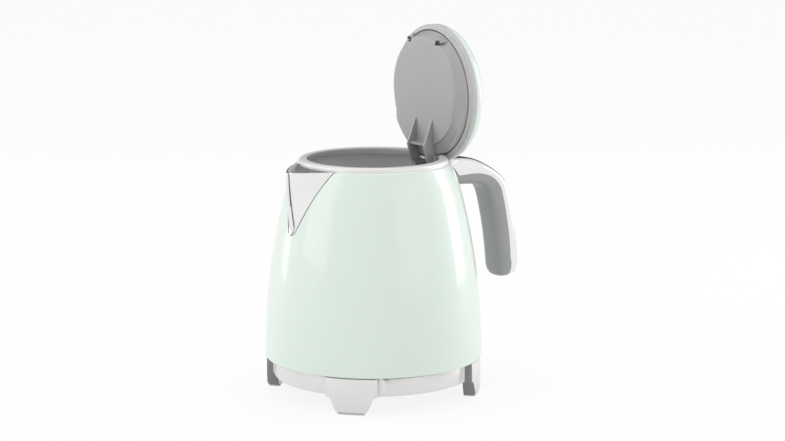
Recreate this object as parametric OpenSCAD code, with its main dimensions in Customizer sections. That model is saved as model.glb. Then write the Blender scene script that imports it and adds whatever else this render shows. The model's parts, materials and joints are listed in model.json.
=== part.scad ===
// Small cordless jug kettle on a four-footed power base, drawn with its lid open.
// Origin: on the kettle's upright axis, at the surface that the feet stand on.
// -X is the spout side, +X the handle side. All lengths are in millimetres.

/* [Power base] */
// Height of the band's lower edge above the surface
band_z = 11.7; // [10.5:0.1:16]
// Height of the silver band
band_h = 13.1; // [12:0.1:18]
// How far the band lies inside the kettle's lower edge
band_inset = 6.2; // [5:0.1:8]
// Thickness of the band and the deck
base_wall = 2.3; // [1.8:0.1:3]
// How far a foot's outer face lies inside the kettle's lower edge
foot_inset = 0.7; // [0.3:0.1:1.5]
// Half width of a foot beside the band
foot_top_half = 18.2; // [16:0.1:20]
// Half width of a foot at the surface
foot_low_half = 9.6; // [7:0.1:11]
// Radius of the rounding between a foot and the band's lower edge
foot_fillet = 4; // [2:0.5:6]
// Radius of the curves that lead a foot's sides into the band and the outer face
foot_blend = 2.6; // [2:0.1:2.7]
// Thickness of the rubber pad under a foot
pad_t = 1.2; // [0.8:0.1:2]
// Radius of the cord winding hub
hub_r = 31; // [28:0.5:34]
// How far the winding hub's lips reach out
hub_lip = 12; // [8:0.5:16]
// Radius of the bore in the cord gland
gland_bore_r = 2.7; // [2:0.1:3.5]

/* [Connector] */
// Radius of the connector tower
tower_r = 19.5; // [18:0.5:21]
// Height of the connector tower above the deck
tower_h = 12.7; // [12:0.1:15]
// Radius to the middle of the outer contact ring
ring_outer_r = 14.5; // [13.8:0.1:15]
// Radius to the middle of the inner contact ring
ring_inner_r = 9; // [8.6:0.1:9.4]
// Thickness of a contact ring
contact_t = 0.8; // [0.6:0.1:1]
// Clearance each side of a contact ring in its slot
contact_gap = 0.7; // [0.5:0.1:0.9]
// Radius of the centre pin
pin_r = 2.2; // [1.8:0.1:2.6]

/* [Body] */
// Gap between the base's deck and the body's lower edge
body_gap = 0.9; // [0.8:0.1:2]
// Radius of the body at its lower edge
body_r = 76.2; // [72:0.1:82]
// Height of the steel shell
body_h = 135.7; // [130:0.1:145]
// Radius of the long upright curve of the wall
wall_curve_r = 460; // [430:5:520]
// Height of the shoulder below the top of the shell
shoulder_h = 21.4; // [18:0.1:25]
// Radius of the shoulder's curve
shoulder_curve_r = 110; // [90:5:130]
// Thickness of the steel wall
wall = 1; // [0.8:0.1:1.4]
// Height of the vessel's floor above the body's lower edge
floor_h = 26.3; // [25:0.1:30]

/* [Rim ring] */
// How far the ring's outer edge lies inside the top of the shell
ring_inset = 1.9; // [1.5:0.1:3]
// Width of the ring seen from above
ring_w = 6.2; // [5.6:0.1:7]
// Height of the ring above the shell
ring_h = 3.6; // [3:0.1:4.5]
// Thickness of the flange that the shell turns in under the ring
flange_t = 0.8; // [0.6:0.1:1]

/* [Spout] */
// Height of the spout below the top of the shell
spout_h = 45.2; // [40:0.1:50]
// How far the tip of the lip stands out past the rim ring
spout_reach = 18.6; // [15:0.1:22]
// How far the tip of the lip lies below the top of the shell
lip_drop = 1.5; // [0.5:0.1:3]
// Half width of the spout where it meets the ring
spout_half = 24.2; // [20:0.1:26]
// Half width of the rounded bottom of the V
spout_low_half = 2.6; // [2:0.1:4]
// Radius of the folded nose
nose_r = 1.7; // [1.5:0.1:2.2]
// Thickness of the spout's sheet
spout_t = 0.9; // [0.7:0.1:1.2]
// Gap between the spout and the painted shell
spout_gap = 0.3; // [0.2:0.05:0.5]

/* [Lid] */
// Angle to which the lid stands open
lid_open = 89; // [60:1:95]
// Gap between the closed lid and the rim ring
lid_gap = 0.5; // [0.4:0.1:1]
// How far the lid's edge reaches over the ring's inner edge
lid_lap = 3.6; // [3:0.1:4.4]
// Height of the trim band
trim_h = 3; // [2.5:0.1:4]
// Width of the trim band seen from below
trim_w = 2.7; // [2.2:0.1:3.2]
// Height of the painted dome above the trim band
dome_h = 15; // [12:0.5:18]
// Thickness of the painted dome
dome_t = 1; // [0.8:0.1:1.4]
// How far the drum lies inside the lid's edge
drum_inset = 10.3; // [9.6:0.1:13]
// Depth of the drum below the lid's edge
drum_d = 8.9; // [8.6:0.1:10]
// How far the drum lies forward of the lid's centre
drum_shift = 2.4; // [2:0.1:3]
// Wall of the lid liner
liner_t = 1.5; // [1.3:0.1:1.8]
// Distance of a latch tongue from the middle of the lid
latch_y = 17.5; // [17:0.5:19]
// Width of a latch tongue
tongue_w = 5; // [4:0.5:6]
// How far the tongues draw back when the button is pressed
latch_travel = 3.5; // [3:0.1:4]

/* [Lid hinge] */
// How far the hinge pin lies outside the ring's inner edge
hinge_out = 0.5; // [0.2:0.1:1]
// How far the hinge pin lies below the closed lid's edge
hinge_down = 5.4; // [5:0.1:5.8]
// Radius of the hinge pin
hinge_pin_r = 1.5; // [1.2:0.1:1.8]
// Running clearance of the hinge pin in the lid's ears
pin_fit = 0.05; // [0.03:0.01:0.1]
// Distance of a hinge ear from the middle
ear_y = 9.4; // [8.5:0.1:10]
// Thickness of a hinge ear
ear_t = 1.7; // [1.4:0.1:2.2]
// Depth of the ears below the lid's edge
ear_d = 14; // [13:0.5:15]
// Half width of the notch for the hinge in the ring
notch_half = 18.5; // [17.5:0.5:21]

/* [Button] */
// Radius of the ball knob
knob_r = 9.2; // [8:0.1:10]
// Height of the ball's centre above the closed lid's edge
knob_z = 28; // [27:0.5:31]
// How far the button is pressed
press = 3; // [2.5:0.1:3.5]
// Radius of the button's stem
stem_r = 3; // [2.5:0.1:3.5]

/* [Handle] */
// Width of the handle
handle_w = 24; // [22:0.5:28]
// Depth of the polished cover at the body
cover_depth_top = 11.5; // [10:0.1:13]
// Depth of the polished cover round the bend
cover_depth_bend = 7.4; // [6.5:0.1:9]
// Depth of the polished cover along the grip
cover_depth_grip = 9; // [7:0.1:9.5]
// Thickness of the polished cover
cover_t = 1.2; // [1:0.1:1.6]
// Gap between the cover and the grip inside it
cover_gap = 0.3; // [0.2:0.05:0.5]
// Gap between the handle and the body's wall
handle_gap = 1.5; // [1.2:0.1:2]
// Depth of the handle screws below the top of the rim ring
handle_screw_d = 17.8; // [17:0.1:19]
// Distance of a handle screw from the middle
handle_screw_y = 7.5; // [7:0.5:8.5]

/* [Filter] */
// Width of the spout filter
filter_w = 30; // [26:0.5:32]
// Height of the spout filter
filter_h = 36; // [30:0.5:38]
// Thickness of the filter frame
filter_t = 2; // [1.6:0.1:2.4]

/* [Power lever] */
// How far the lever's pivot lies inside the body's lower edge
lever_inset = 18.2; // [16:0.1:22]
// Height of the lever's pivot above the body's lower edge
lever_z = 10.3; // [9.5:0.1:11]
// Length of the lever from its pivot to the knob's centre
lever_len = 26.5; // [25:0.5:28]
// Angle that the lever moves through
lever_swing = 12; // [8:1:14]
// Half width of the slot for the lever
slot_half_w = 5; // [4.5:0.5:6]

/* [Hidden] */
$fn = 96;

// General clearance between pieces that only lie beside each other
slack = 0.3;
// Base heights and radii
deck_z = band_z + band_h;
deck_low_z = deck_z - base_wall;
band_r = body_r - band_inset;
foot_r = body_r - foot_inset;
hub_low_z = band_z - 3.2;
hub_floor_t = 2;
hub_screw_r = tower_r + 2.5;
tower_top_z = deck_z + tower_h;
slot_depth = 8;
// Body heights
body_z = deck_z + body_gap;
shoulder_start = body_h - shoulder_h;
shoulder_z = body_z + shoulder_start;
shell_top_z = body_z + body_h;
flange_z = shell_top_z - flange_t;
floor_z = body_z + floor_h;
cover_low_z = body_z + 0.5;
lever_pivot_z = body_z + lever_z;
lever_pivot_x = body_r - lever_inset;
// Rim ring
ring_out_r = wall_r(shell_top_z) - ring_inset;
ring_in_r = ring_out_r - ring_w;
ring_top_z = shell_top_z + ring_h;
// Lid: its pieces are drawn closed and turned open about the hinge pin
lid_z = ring_top_z + lid_gap;
lid_r = ring_in_r + lid_lap;
trim_in_r = lid_r - trim_w;
trim_top_z = lid_z + trim_h;
liner_r = trim_in_r - 1.3;
drum_r = lid_r - drum_inset;
drum_z = lid_z - drum_d;
drum_floor_z = drum_z + liner_t;
hinge_x = ring_in_r + hinge_out;
hinge_z = lid_z - hinge_down;
// Lowest point of the lid's edge when it stands open, and the seat that clears it
seat_z = hinge_z + hinge_x - lid_r - 0.6;
notch_z = seat_z - 1.8;
// Largest radius of the ears about the pin, with room to turn
ear_reach = hinge_down + 2;
// Latch tongues lie just under the turned-in flange
tongue_top_z = flange_z - slack;
tongue_t = tongue_top_z - drum_floor_z - 0.1;
// Button: collar, guide and cam heights
collar_z = lid_z + 3.5;
collar_t = 2;
cam_x = 8;
cam_h = 6;
// Spout
spout_z = shell_top_z - spout_h;
tip_x = ring_out_r + spout_reach;
tip_z = shell_top_z - lip_drop;
// Filter plane, just inside the ring
filter_x = sqrt(pow(ring_in_r - 0.5, 2) - pow(filter_w / 2, 2));
filter_top_z = drum_z - 0.8;

// ---------- shared shapes ----------

// Outer radius of the body's wall at a height
function wall_r(z) =
    let (h = z - body_z,
         lean = asin(shoulder_start / wall_curve_r),
         cx = body_r - wall_curve_r + (wall_curve_r - shoulder_curve_r) * cos(lean),
         cz = (wall_curve_r - shoulder_curve_r) * sin(lean))
    h < shoulder_start
        ? body_r - wall_curve_r + sqrt(pow(wall_curve_r, 2) - h * h)
        : cx + sqrt(pow(shoulder_curve_r, 2) - pow(h - cz, 2));

// Points up the wall, moved outwards by a distance
function wall_line(z0, z1, out, steps) =
    [for (i = [0 : steps]) let (z = z0 + (z1 - z0) * i / steps) [wall_r(z) + out, z]];

// Arc about a centre, in steps of about 15 degrees
function arc(c, r, a0, a1) =
    let (n = max(2, ceil(abs(a1 - a0) / 15)))
    [for (i = [0 : n]) let (a = a0 + (a1 - a0) * i / n) [c[0] + r * cos(a), c[1] + r * sin(a)]];

function reversed(list) = [for (i = [len(list) - 1 : -1 : 0]) list[i]];
function mix(a, b, t) = a + (b - a) * t;
function bezier(p, t) =
    pow(1 - t, 3) * p[0] + 3 * t * pow(1 - t, 2) * p[1] + 3 * t * t * (1 - t) * p[2] + pow(t, 3) * p[3];
function sgn_pow(v, p) = sign(v) * pow(abs(v), p);

// Skin through closed sections that all have the same even number of points.
// Each end is closed by strips between the section's first half and its second half.
module loft(sections) {
    n = len(sections[0]);
    m = len(sections);
    sides = [for (k = [0 : m - 2], i = [0 : n - 1])
        let (a = k * n + i, b = k * n + (i + 1) % n) each [[a, b, b + n], [a, b + n, a + n]]];
    cap = [for (i = [0 : n / 2 - 2]) each [[i, i + 1, n - 2 - i], [i, n - 2 - i, n - 1 - i]]];
    polyhedron(points = [for (s = sections) each s], faces = concat(
        [for (f = cap) [f[2], f[1], f[0]]], sides,
        [for (f = cap) [for (i = f) i + (m - 1) * n]]));
}

// Ring of rectangular section
module band(r_out, r_in, z0, z1) {
    translate([0, 0, z0]) difference() {
        cylinder(r = r_out, h = z1 - z0);
        translate([0, 0, -1]) cylinder(r = r_in, h = z1 - z0 + 2);
    }
}

// Block that spans a width about the XZ plane
module block(x0, x1, half_y, z0, z1) {
    translate([x0, -half_y, z0]) cube([x1 - x0, 2 * half_y, z1 - z0]);
}

// Outline in the XZ plane, given a thickness about a distance y
module plate_y(y, t) {
    translate([0, y + t / 2, 0]) rotate([90, 0, 0]) linear_extrude(height = t) children();
}

// Layer that follows the body's wall
module wall_layer(z0, z1, out0, out1) {
    rotate_extrude() polygon(concat(wall_line(z0, z1, out1, 6), reversed(wall_line(z0, z1, out0, 6))));
}

// Round wire along a helix
module coil(r, wire_r, turns, h) {
    per_turn = 10;
    count = turns * per_turn;
    loft([for (k = [0 : count])
        let (a = 360 * k / per_turn, z = h * k / count)
        [for (j = [0 : 5]) let (b = 60 * j)
            [(r + wire_r * cos(b)) * cos(a), (r + wire_r * cos(b)) * sin(a), z + wire_r * sin(b)]]]);
}

// Turns the closed lid's pieces to where the lid stands open
module open_lid() {
    translate([hinge_x, 0, hinge_z]) rotate([0, lid_open, 0]) translate([-hinge_x, 0, -hinge_z]) children();
}

// ---------- power base ----------

// Outline of a foot seen from outside: it tapers up from the surface, then a round corner
// runs out to the upright sides beside the band, a little above the band's lower edge.
function foot_side() =
    let (top = band_z + 0.4,
         taper = (foot_top_half - foot_low_half - foot_fillet) / (top - foot_fillet / 2),
         lean = atan(taper),
         zp = top - foot_fillet * (1 - sin(lean)),
         xp = foot_low_half + taper * zp,
         c = [xp + foot_fillet * cos(lean), top - foot_fillet])
    concat([[foot_low_half + taper * pad_t, pad_t]], reversed(arc(c, foot_fillet, 90, 180 - lean)));

// Plan of a foot: its sides run out of the band in a hollow curve and round off into the outer face
function foot_plan() =
    let (c2 = [sqrt(pow(band_r + foot_blend, 2) - pow(foot_top_half + foot_blend, 2)),
             foot_top_half + foot_blend],
         c1 = [sqrt(pow(foot_r - foot_blend, 2) - pow(foot_top_half - foot_blend, 2)),
             foot_top_half - foot_blend],
         a2 = atan2(c2[1], c2[0]),
         a1 = atan2(c1[1], c1[0]))
    concat([[band_r - base_wall - 1.5, c2[1]]], arc(c2, foot_blend, 180 + a2, 270),
        arc(c1, foot_blend, 90, a1), [[foot_r + 2, c1[1]]]);

module foot() {
    side = foot_side();
    plan = foot_plan();
    wide = foot_top_half + foot_blend + 1;
    intersection() {
        rotate_extrude() polygon([[band_r - base_wall - 1.5, pad_t], [foot_r - 1, pad_t], [foot_r, pad_t + 1.2],
            [foot_r, deck_z - 0.4], [foot_r - 0.4, deck_z], [band_r - base_wall - 1.5, deck_z]]);
        rotate([90, 0, 90]) linear_extrude(height = foot_r + 5)
            polygon(concat(side, [[wide, band_z + 0.4], [wide, deck_z + 1], [-wide, deck_z + 1],
                [-wide, band_z + 0.4]], [for (p = reversed(side)) [-p[0], p[1]]]));
        linear_extrude(height = deck_z + 1)
            polygon(concat(plan, [for (p = reversed(plan)) [p[0], -p[1]]]));
    }
}

module base_housing() {
    color("gainsboro") difference() {
        union() {
            rotate_extrude($fn = 144) polygon([[0, deck_low_z], [band_r - base_wall, deck_low_z],
                [band_r - base_wall, band_z], [band_r - 0.6, band_z], [band_r, band_z + 0.6],
                [band_r, deck_z - 0.9], [band_r - 2, deck_z - 0.9], [band_r - 2, deck_z], [0, deck_z]]);
            for (a = [45 : 90 : 315]) rotate(a) foot();
        }
        translate([0, 0, band_z]) cylinder(r = tower_r + slack, h = band_h + 2);
    }
}

module base_underside_cover() {
    color("gainsboro") difference() {
        union() {
            band(hub_r, hub_r - base_wall, hub_low_z, deck_low_z);
            translate([0, 0, hub_low_z]) cylinder(r = hub_r, h = hub_floor_t);
            // Lips that keep the wound cord on the hub
            for (a = [45 : 90 : 315]) rotate(a) intersection() {
                band(hub_r + hub_lip, hub_r - 1, hub_low_z, hub_low_z + 1.8);
                block(0, hub_r + hub_lip + 5, 9, 0, deck_z);
            }
        }
        translate([hub_r, 0, hub_low_z + 6]) rotate([0, 90, 0])
            cylinder(r = gland_bore_r + 1.5, h = 4 * base_wall, center = true);
        for (a = [60 : 120 : 300]) rotate(a) translate([hub_screw_r, 0, 0]) cylinder(r = 1.7, h = band_z);
    }
}

module base_connector() {
    slot = contact_t / 2 + contact_gap;
    low = deck_low_z - 3;
    color("dimgray") difference() {
        union() {
            translate([0, 0, low]) cylinder(r = tower_r, h = tower_top_z - low);
            translate([0, 0, low]) cylinder(r = tower_r + 3, h = 2.8);
            for (a = [60 : 120 : 300]) rotate(a) translate([hub_screw_r, 0, hub_low_z + hub_floor_t])
                cylinder(r = 3.2, h = low + 2.8 - hub_low_z - hub_floor_t);
        }
        for (r = [ring_inner_r, ring_outer_r])
            band(r + slot, r - slot, tower_top_z - slot_depth, tower_top_z + 1);
        translate([0, 0, tower_top_z - slot_depth - 2]) cylinder(r = pin_r + contact_gap, h = slot_depth + 3);
        for (a = [60 : 120 : 300]) rotate(a) translate([hub_screw_r, 0, hub_low_z]) cylinder(r = 1.3, h = 9);
    }
}

module base_contacts() {
    z = tower_top_z - slot_depth;
    color("goldenrod") for (r = [ring_inner_r, ring_outer_r]) band(r + contact_t / 2, r - contact_t / 2, z, z + 1);
}

module cord_gland() {
    color("dimgray") translate([hub_r, 0, hub_low_z + 6]) rotate([0, 90, 0]) difference() {
        union() {
            cylinder(r = gland_bore_r + 1.4, h = 2 * base_wall, center = true);
            translate([0, 0, 0.1]) cylinder(r = gland_bore_r + 2.6, h = 1.6);
        }
        cylinder(r = gland_bore_r, h = 6 * base_wall, center = true);
    }
}

module foot_pads() {
    color("dimgray") for (a = [45 : 90 : 315]) rotate(a) intersection() {
        band(foot_r - 1, band_r - base_wall - 1, 0, pad_t);
        block(0, foot_r, foot_low_half - 0.4, 0, pad_t);
    }
}

module base_screws() {
    color("silver") for (a = [60 : 120 : 300]) rotate(a) translate([hub_screw_r, 0, hub_low_z]) {
        translate([0, 0, -1.8]) cylinder(r = 3, h = 1.7);
        translate([0, 0, -0.2]) cylinder(r = 1.2, h = 8);
    }
}

// ---------- kettle: body ----------

module connector_pin() {
    low = tower_top_z - slot_depth;
    color("goldenrod") {
        translate([0, 0, low]) cylinder(r = pin_r, h = slot_depth + tower_h - 8.3);
        translate([0, 0, low - 1.5]) cylinder(r1 = pin_r - 1, r2 = pin_r, h = 1.5);
    }
}

// Half width of the spout at a height: straight sides of a V with a small rounded bottom
function spout_y(z) = mix(spout_low_half, spout_half, (z - spout_z) / (flange_z - spout_z));

module spout_outline(grow, top) {
    foot = arc([0, spout_z], spout_low_half + grow, -15, -165);
    polygon(concat([[-spout_y(top) - grow, top], [spout_y(top) + grow, top]], foot));
}

module hinge_notch(half, z) {
    block(0, body_r, half, z, ring_top_z + 5);
}

module body_shell() {
    top_r = wall_r(flange_z) - wall;
    color("honeydew") difference() {
        rotate_extrude($fn = 144) polygon(concat(
            [[ring_in_r + 2, flange_z], [ring_in_r + 2, shell_top_z]],
            [[wall_r(shell_top_z) - 0.8, shell_top_z]],
            reversed(wall_line(body_z, shell_top_z - 0.6, 0, 34)),
            [[body_r - wall, body_z]],
            wall_line(body_z + 1, flange_z - 1, -wall, 34),
            [[top_r - 0.9, flange_z]]));
        rotate([90, 0, -90]) linear_extrude(height = body_r + 9)
            spout_outline(spout_gap, flange_z + flange_t / 2);
        // Outside the rim ring the opening runs up through the turned-in flange
        intersection() {
            rotate([90, 0, -90]) linear_extrude(height = body_r + 9) spout_outline(spout_gap, ring_top_z);
            band(body_r, ring_out_r - 0.6, spout_z, ring_top_z);
        }
        hinge_notch(notch_half, notch_z);
        block(body_r - 8, body_r + 8, slot_half_w + 1, lever_pivot_z - 6.5, lever_pivot_z + 6.5);
        for (s = [-1, 1]) handle_screw_axis(s) cylinder(r = 2.2, h = 30);
    }
}

module rim_ring() {
    color("gainsboro") difference() {
        rotate_extrude($fn = 144) polygon(concat(
            [[ring_in_r, flange_z], [ring_in_r + 1.8, flange_z], [ring_in_r + 1.8, shell_top_z],
             [ring_out_r, shell_top_z]],
            arc([ring_out_r - 2.6, ring_top_z - 2.6], 2.6, 0, 90),
            arc([ring_in_r + 1.5, ring_top_z - 1.5], 1.5, 90, 180)));
        hinge_notch(notch_half, flange_z - 1);
    }
}

// One level of the spout's sheet: from the wall on one side, round the nose, to the wall on the other.
// The nose is a bead that stands a little proud of the two panels.
function spout_level(z, lift, t) =
    let (y = spout_y(z + lift) - spout_gap,
         edge = [sqrt(pow(wall_r(min(z + lift, shell_top_z)), 2) - y * y) - 0.3, y],
         nose = max(edge[0] + 1.6, nose_x(z)),
         r = min(mix(nose_r + 0.7, nose_r, (z - spout_z) / spout_h), max(t + 0.3, 0.62 * y)),
         c = [nose - r, 0],
         run = c + r * [cos(nose_bend), sin(nose_bend)] - edge,
         side = [-run[1], run[0]] / norm(run),
         half = concat([edge - t * side], [for (i = [0 : 5]) let (a = nose_bend * (5 - i) / 5)
             c + (r - t) * [cos(a), sin(a)]]))
    concat(half, [for (i = [len(half) - 2 : -1 : 0]) [half[i][0], -half[i][1]]]);

// Nose line of the spout: almost upright, a little fuller towards the lip
function nose_x(z) = tip_x - 3.7 * pow((tip_z - z) / (tip_z - spout_z), 2);
nose_bend = 72;

module spout() {
    rise = (shell_top_z + 0.1 - tip_z) / (tip_x - ring_out_r + 2);
    levels = 12;
    color("silver") mirror([1, 0, 0]) loft([for (k = [0 : levels])
        let (z = mix(spout_z + 0.8, tip_z, k / levels),
             tilt = rise * pow(k / levels, 2),
             lift = tilt * (tip_x - ring_out_r + 2),
             outer = spout_level(z, lift, 0),
             inner = spout_level(z, lift, spout_t))
        [for (p = concat(outer, reversed(inner))) [p[0], p[1], z + tilt * max(0, tip_x - p[0] - 2)]]]);
}

module filter_guide() {
    y = filter_w / 2 + slack;
    front = filter_x + slack;
    back = filter_x - filter_t - slack;
    low = filter_top_z - filter_h - 2;
    color("darkgray") {
        // Rails at both edges of the filter, open at the top
        for (s = [-1, 1]) mirror([0, s < 0 ? 1 : 0, 0]) translate([0, 0, low]) {
            linear_extrude(height = filter_top_z - low) polygon([[-front - 1.4, y - 2], [-front, y - 2],
                [-front, y], [-back, y], [-back, y - 2], [-back + 1.2, y - 2], [-back + 1.2, y + 1.3],
                [-front - 1.4, y + 1.3]]);
        }
        // Cheeks that lead the water from the rails to the spout's opening
        intersection() {
            for (s = [-1, 1]) mirror([0, s < 0 ? 1 : 0, 0]) translate([0, 0, low])
                linear_extrude(height = filter_top_z - low) polygon([[-front - 1.4, y - 0.5],
                    [-body_r, y + 6.5], [-body_r, y + 8], [-front - 1.4, y + 1.3]]);
            rotate_extrude() polygon(concat([[0, low]],
                wall_line(low, filter_top_z, -wall - slack, 8), [[0, filter_top_z]]));
        }
        block(-front - 1.4, -back + 1.2, y + 1.3, low - 1.5, low);
    }
}

// ---------- kettle: heating and control ----------

function plate_r() = wall_r(floor_z) - wall - 2.6;
steam_tube_x = plate_r() - 20;
steam_tube_a = 24;

module heating_plate() {
    color("silver") difference() {
        union() {
            translate([0, 0, floor_z]) cylinder(r = plate_r(), h = 1);
            band(plate_r(), plate_r() - 0.9, floor_z - 5.5, floor_z + 0.5);
        }
        rotate(steam_tube_a) translate([steam_tube_x, 0, floor_z - 1]) cylinder(r = 4.6, h = 4);
    }
}

module plate_seal() {
    color("white") band(plate_r() + 2.3, plate_r() + 0.1, floor_z - 5.2, floor_z + 1);
}

module diffuser_plate() {
    color("lightgray") difference() {
        translate([0, 0, floor_z - 3]) cylinder(r = plate_r() - 12, h = 2.9);
        translate([0, 0, floor_z - 4]) cylinder(r = 13, h = 5);
        rotate(steam_tube_a) translate([steam_tube_x, 0, floor_z - 4]) cylinder(r = 5.5, h = 5);
    }
}

module heating_element() {
    r = 40;
    tube_r = 3.3;
    z = floor_z - 3.1 - tube_r;
    color("gray") {
        rotate(25) rotate_extrude(angle = 310) translate([r, z]) circle(r = tube_r, $fn = 48);
        for (s = [-1, 1]) rotate(25 * s) translate([r, 0, z - 9]) cylinder(r = 1.6, h = 9);
    }
}

module bimetal_disc() {
    color("goldenrod") translate([0, 0, floor_z - 0.5]) cylinder(r = 9.5, h = 0.35);
}

module control_unit() {
    top = body_z + 19.3;
    low = body_z + 9.5;
    color("ivory") {
        band(27, tower_r + 3.2, low, top);
        translate([0, 0, top - 1.4]) cylinder(r = 27, h = 1.4);
        translate([0, 0, top - 1]) cylinder(r = 11.5, h = floor_z - 0.8 - top + 1);
        difference() {
            block(24, 43, 12, low - 3, top - 3.5);
            translate([0, 0, low - 4]) cylinder(r = tower_r + 3.5, h = 20);
        }
    }
}

cup_top_z = tower_top_z + 4;

module connector_cup() {
    color("dimgray") difference() {
        union() {
            band(tower_r + 2.8, tower_r + 1, body_z + 0.9, cup_top_z + 2);
            translate([0, 0, cup_top_z]) cylinder(r = tower_r + 2.8, h = 2);
        }
        translate([0, 0, cup_top_z - 1]) cylinder(r = pin_r + pin_fit, h = 4);
    }
}

module contact_rings() {
    color("goldenrod") for (r = [ring_inner_r, ring_outer_r])
        band(r + contact_t / 2, r - contact_t / 2, tower_top_z - 6, cup_top_z);
}

boss_r = plate_r() - 7.8;

module chassis_ring() {
    top = floor_z - 5.6;
    color("dimgray") difference() {
        union() {
            band(plate_r() + 2, plate_r() - 12, top - 3.6, top);
            for (a = [60 : 120 : 300]) rotate(a) translate([boss_r, 0, cover_low_z + 6])
                cylinder(r = 4.5, h = top - cover_low_z - 7);
        }
        for (a = [60 : 120 : 300]) rotate(a) translate([boss_r, 0, cover_low_z])
            cylinder(r = 1.6, h = 17);
    }
}

module bottom_cover() {
    r = wall_r(cover_low_z + 6) - wall - slack;
    color("dimgray") difference() {
        union() {
            translate([0, 0, cover_low_z]) cylinder(r = r, h = 2.2);
            band(r, r - 2.2, cover_low_z, cover_low_z + 5.5);
            // Ring that the kettle rests on
            band(53, 50, deck_z + slack, cover_low_z + 1);
            // Posts for the lever's pin
            for (s = [-1, 1]) plate_y(s * 6, 2.4) polygon([[lever_pivot_x - 4, cover_low_z + 1],
                [lever_pivot_x + 4, cover_low_z + 1], [lever_pivot_x + 3, lever_pivot_z + 3],
                [lever_pivot_x - 3, lever_pivot_z + 3]]);
        }
        translate([0, 0, cover_low_z - 3]) cylinder(r = tower_r + 3.1, h = 10);
        // Room for the lever's frame
        block(body_r - 8, body_r + 2, slot_half_w + 1.4, cover_low_z + 2.3, cover_low_z + 8);
        for (a = [60 : 120 : 300]) rotate(a) translate([boss_r, 0, cover_low_z - 1]) cylinder(r = 1.8, h = 5);
        translate([lever_pivot_x, 0, lever_pivot_z]) rotate([90, 0, 0])
            cylinder(r = 1.25, h = 20, center = true);
    }
}

module bottom_screws() {
    color("silver") for (a = [60 : 120 : 300]) rotate(a) translate([boss_r, 0, cover_low_z]) {
        translate([0, 0, -1]) cylinder(r = 3.2, h = 0.9);
        translate([0, 0, -0.2]) cylinder(r = 1.5, h = 14);
    }
}

module steam_tube() {
    low = floor_z - 8;
    top = hinge_z - 12;
    color("lightgray") rotate(steam_tube_a) translate([steam_tube_x, 0, low]) difference() {
        union() {
            cylinder(r = 4.5, h = top - low);
            translate([0, 0, floor_z + 1.2 - low]) cylinder(r = 6, h = 1.5);
        }
        translate([0, 0, -1]) cylinder(r = 3.3, h = top - low + 2);
    }
}

// ---------- kettle: power lever ----------

// The lever is drawn up, in its off position
module at_lever() {
    translate([lever_pivot_x, 0, lever_pivot_z]) rotate([0, -lever_swing / 2, 0]) children();
}

module power_lever() {
    color("dimgray") at_lever() difference() {
        union() {
            translate([-11, -4, -1.6]) cube([11 + lever_len - 4, 8, 3.2]);
            rotate([90, 0, 0]) cylinder(r = 3.6, h = 8, center = true);
            translate([lever_len - 5, 0, 0]) rotate([0, 90, 0]) cylinder(r = 1.5, h = 4);
        }
        rotate([90, 0, 0]) cylinder(r = 1.2 + pin_fit, h = 20, center = true);
    }
}

module lever_knob() {
    r = 4.6;
    flat = 3.8;
    color("silver") at_lever() translate([lever_len, 0, 0]) rotate([0, 90, 0]) rotate_extrude()
        polygon(concat([[0, -1], [1.55, -1], [1.55, -flat]], arc([0, 0], r, -asin(flat / r), 90)));
}

module lever_pin() {
    color("silver") translate([lever_pivot_x, 0, lever_pivot_z]) rotate([90, 0, 0])
        cylinder(r = 1.2, h = 15, center = true);
}

module lever_bezel() {
    z0 = lever_pivot_z - 6.5 + slack;
    z1 = lever_pivot_z + 6.5 - slack;
    color("dimgray") difference() {
        union() {
            intersection() {
                band(body_r + 1.4, body_r - 4.5, z0, z1);
                block(body_r / 2, body_r + 5, slot_half_w + 1 - slack, z0, z1);
            }
            intersection() {
                band(body_r + 1.4, body_r + slack, z0 - 1.6, z1 + 1.6);
                block(body_r / 2, body_r + 5, slot_half_w + 2.4, z0 - 1.6, z1 + 1.6);
            }
        }
        block(body_r / 2, body_r + 5, slot_half_w - 0.4, lever_pivot_z - 4.8, lever_pivot_z + 4.8);
    }
}

// ---------- kettle: handle ----------

// Outer and inner lines of the handle in the XZ plane: over the arm, round the corner, down the grip.
// x is measured from the body's radius at the foot, z from the top of the rim ring.
OUTER = [
    [[-24.2, -10.4], [-13.2, -3.4], [3.8, -3.8], [16.8, -12.4]],
    [[16.8, -12.4], [24.8, -17.7], [31.6, -22.5], [34.2, -31.5]],
    [[34.2, -31.5], [37.1, -41.5], [44.2, -64], [44.3, -85]]];
INNER = [
    [[-24.2, -24.4], [-14.2, -24.6], [-3.2, -24.8], [6, -25.8]],
    [[6, -25.8], [11.6, -26.3], [14.1, -28.5], [16, -33.5]],
    [[16, -33.5], [19.5, -44.5], [24, -66], [25.6, -85]]];
STEPS = [9, 7, 9];

handle_origin = [body_r, ring_top_z];

// Stations along the handle: [outer point, inner point, half width, depth of the cover]
function handle_run() = concat(
    [for (k = [0 : 2], i = [0 : STEPS[k] - 1]) let (t = i / STEPS[k])
        [handle_origin + bezier(OUTER[k], t), handle_origin + bezier(INNER[k], t), handle_w / 2,
         cover_at((k + t) / 3)]]);

// The cover is deep at the arm, thin round the bend and even along the grip
function cover_at(f) = lookup(f, [[0, cover_depth_top], [0.25, cover_depth_top - 1.1],
    [0.42, cover_depth_bend], [0.58, cover_depth_grip - 0.4], [0.73, cover_depth_grip]]);

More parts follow.
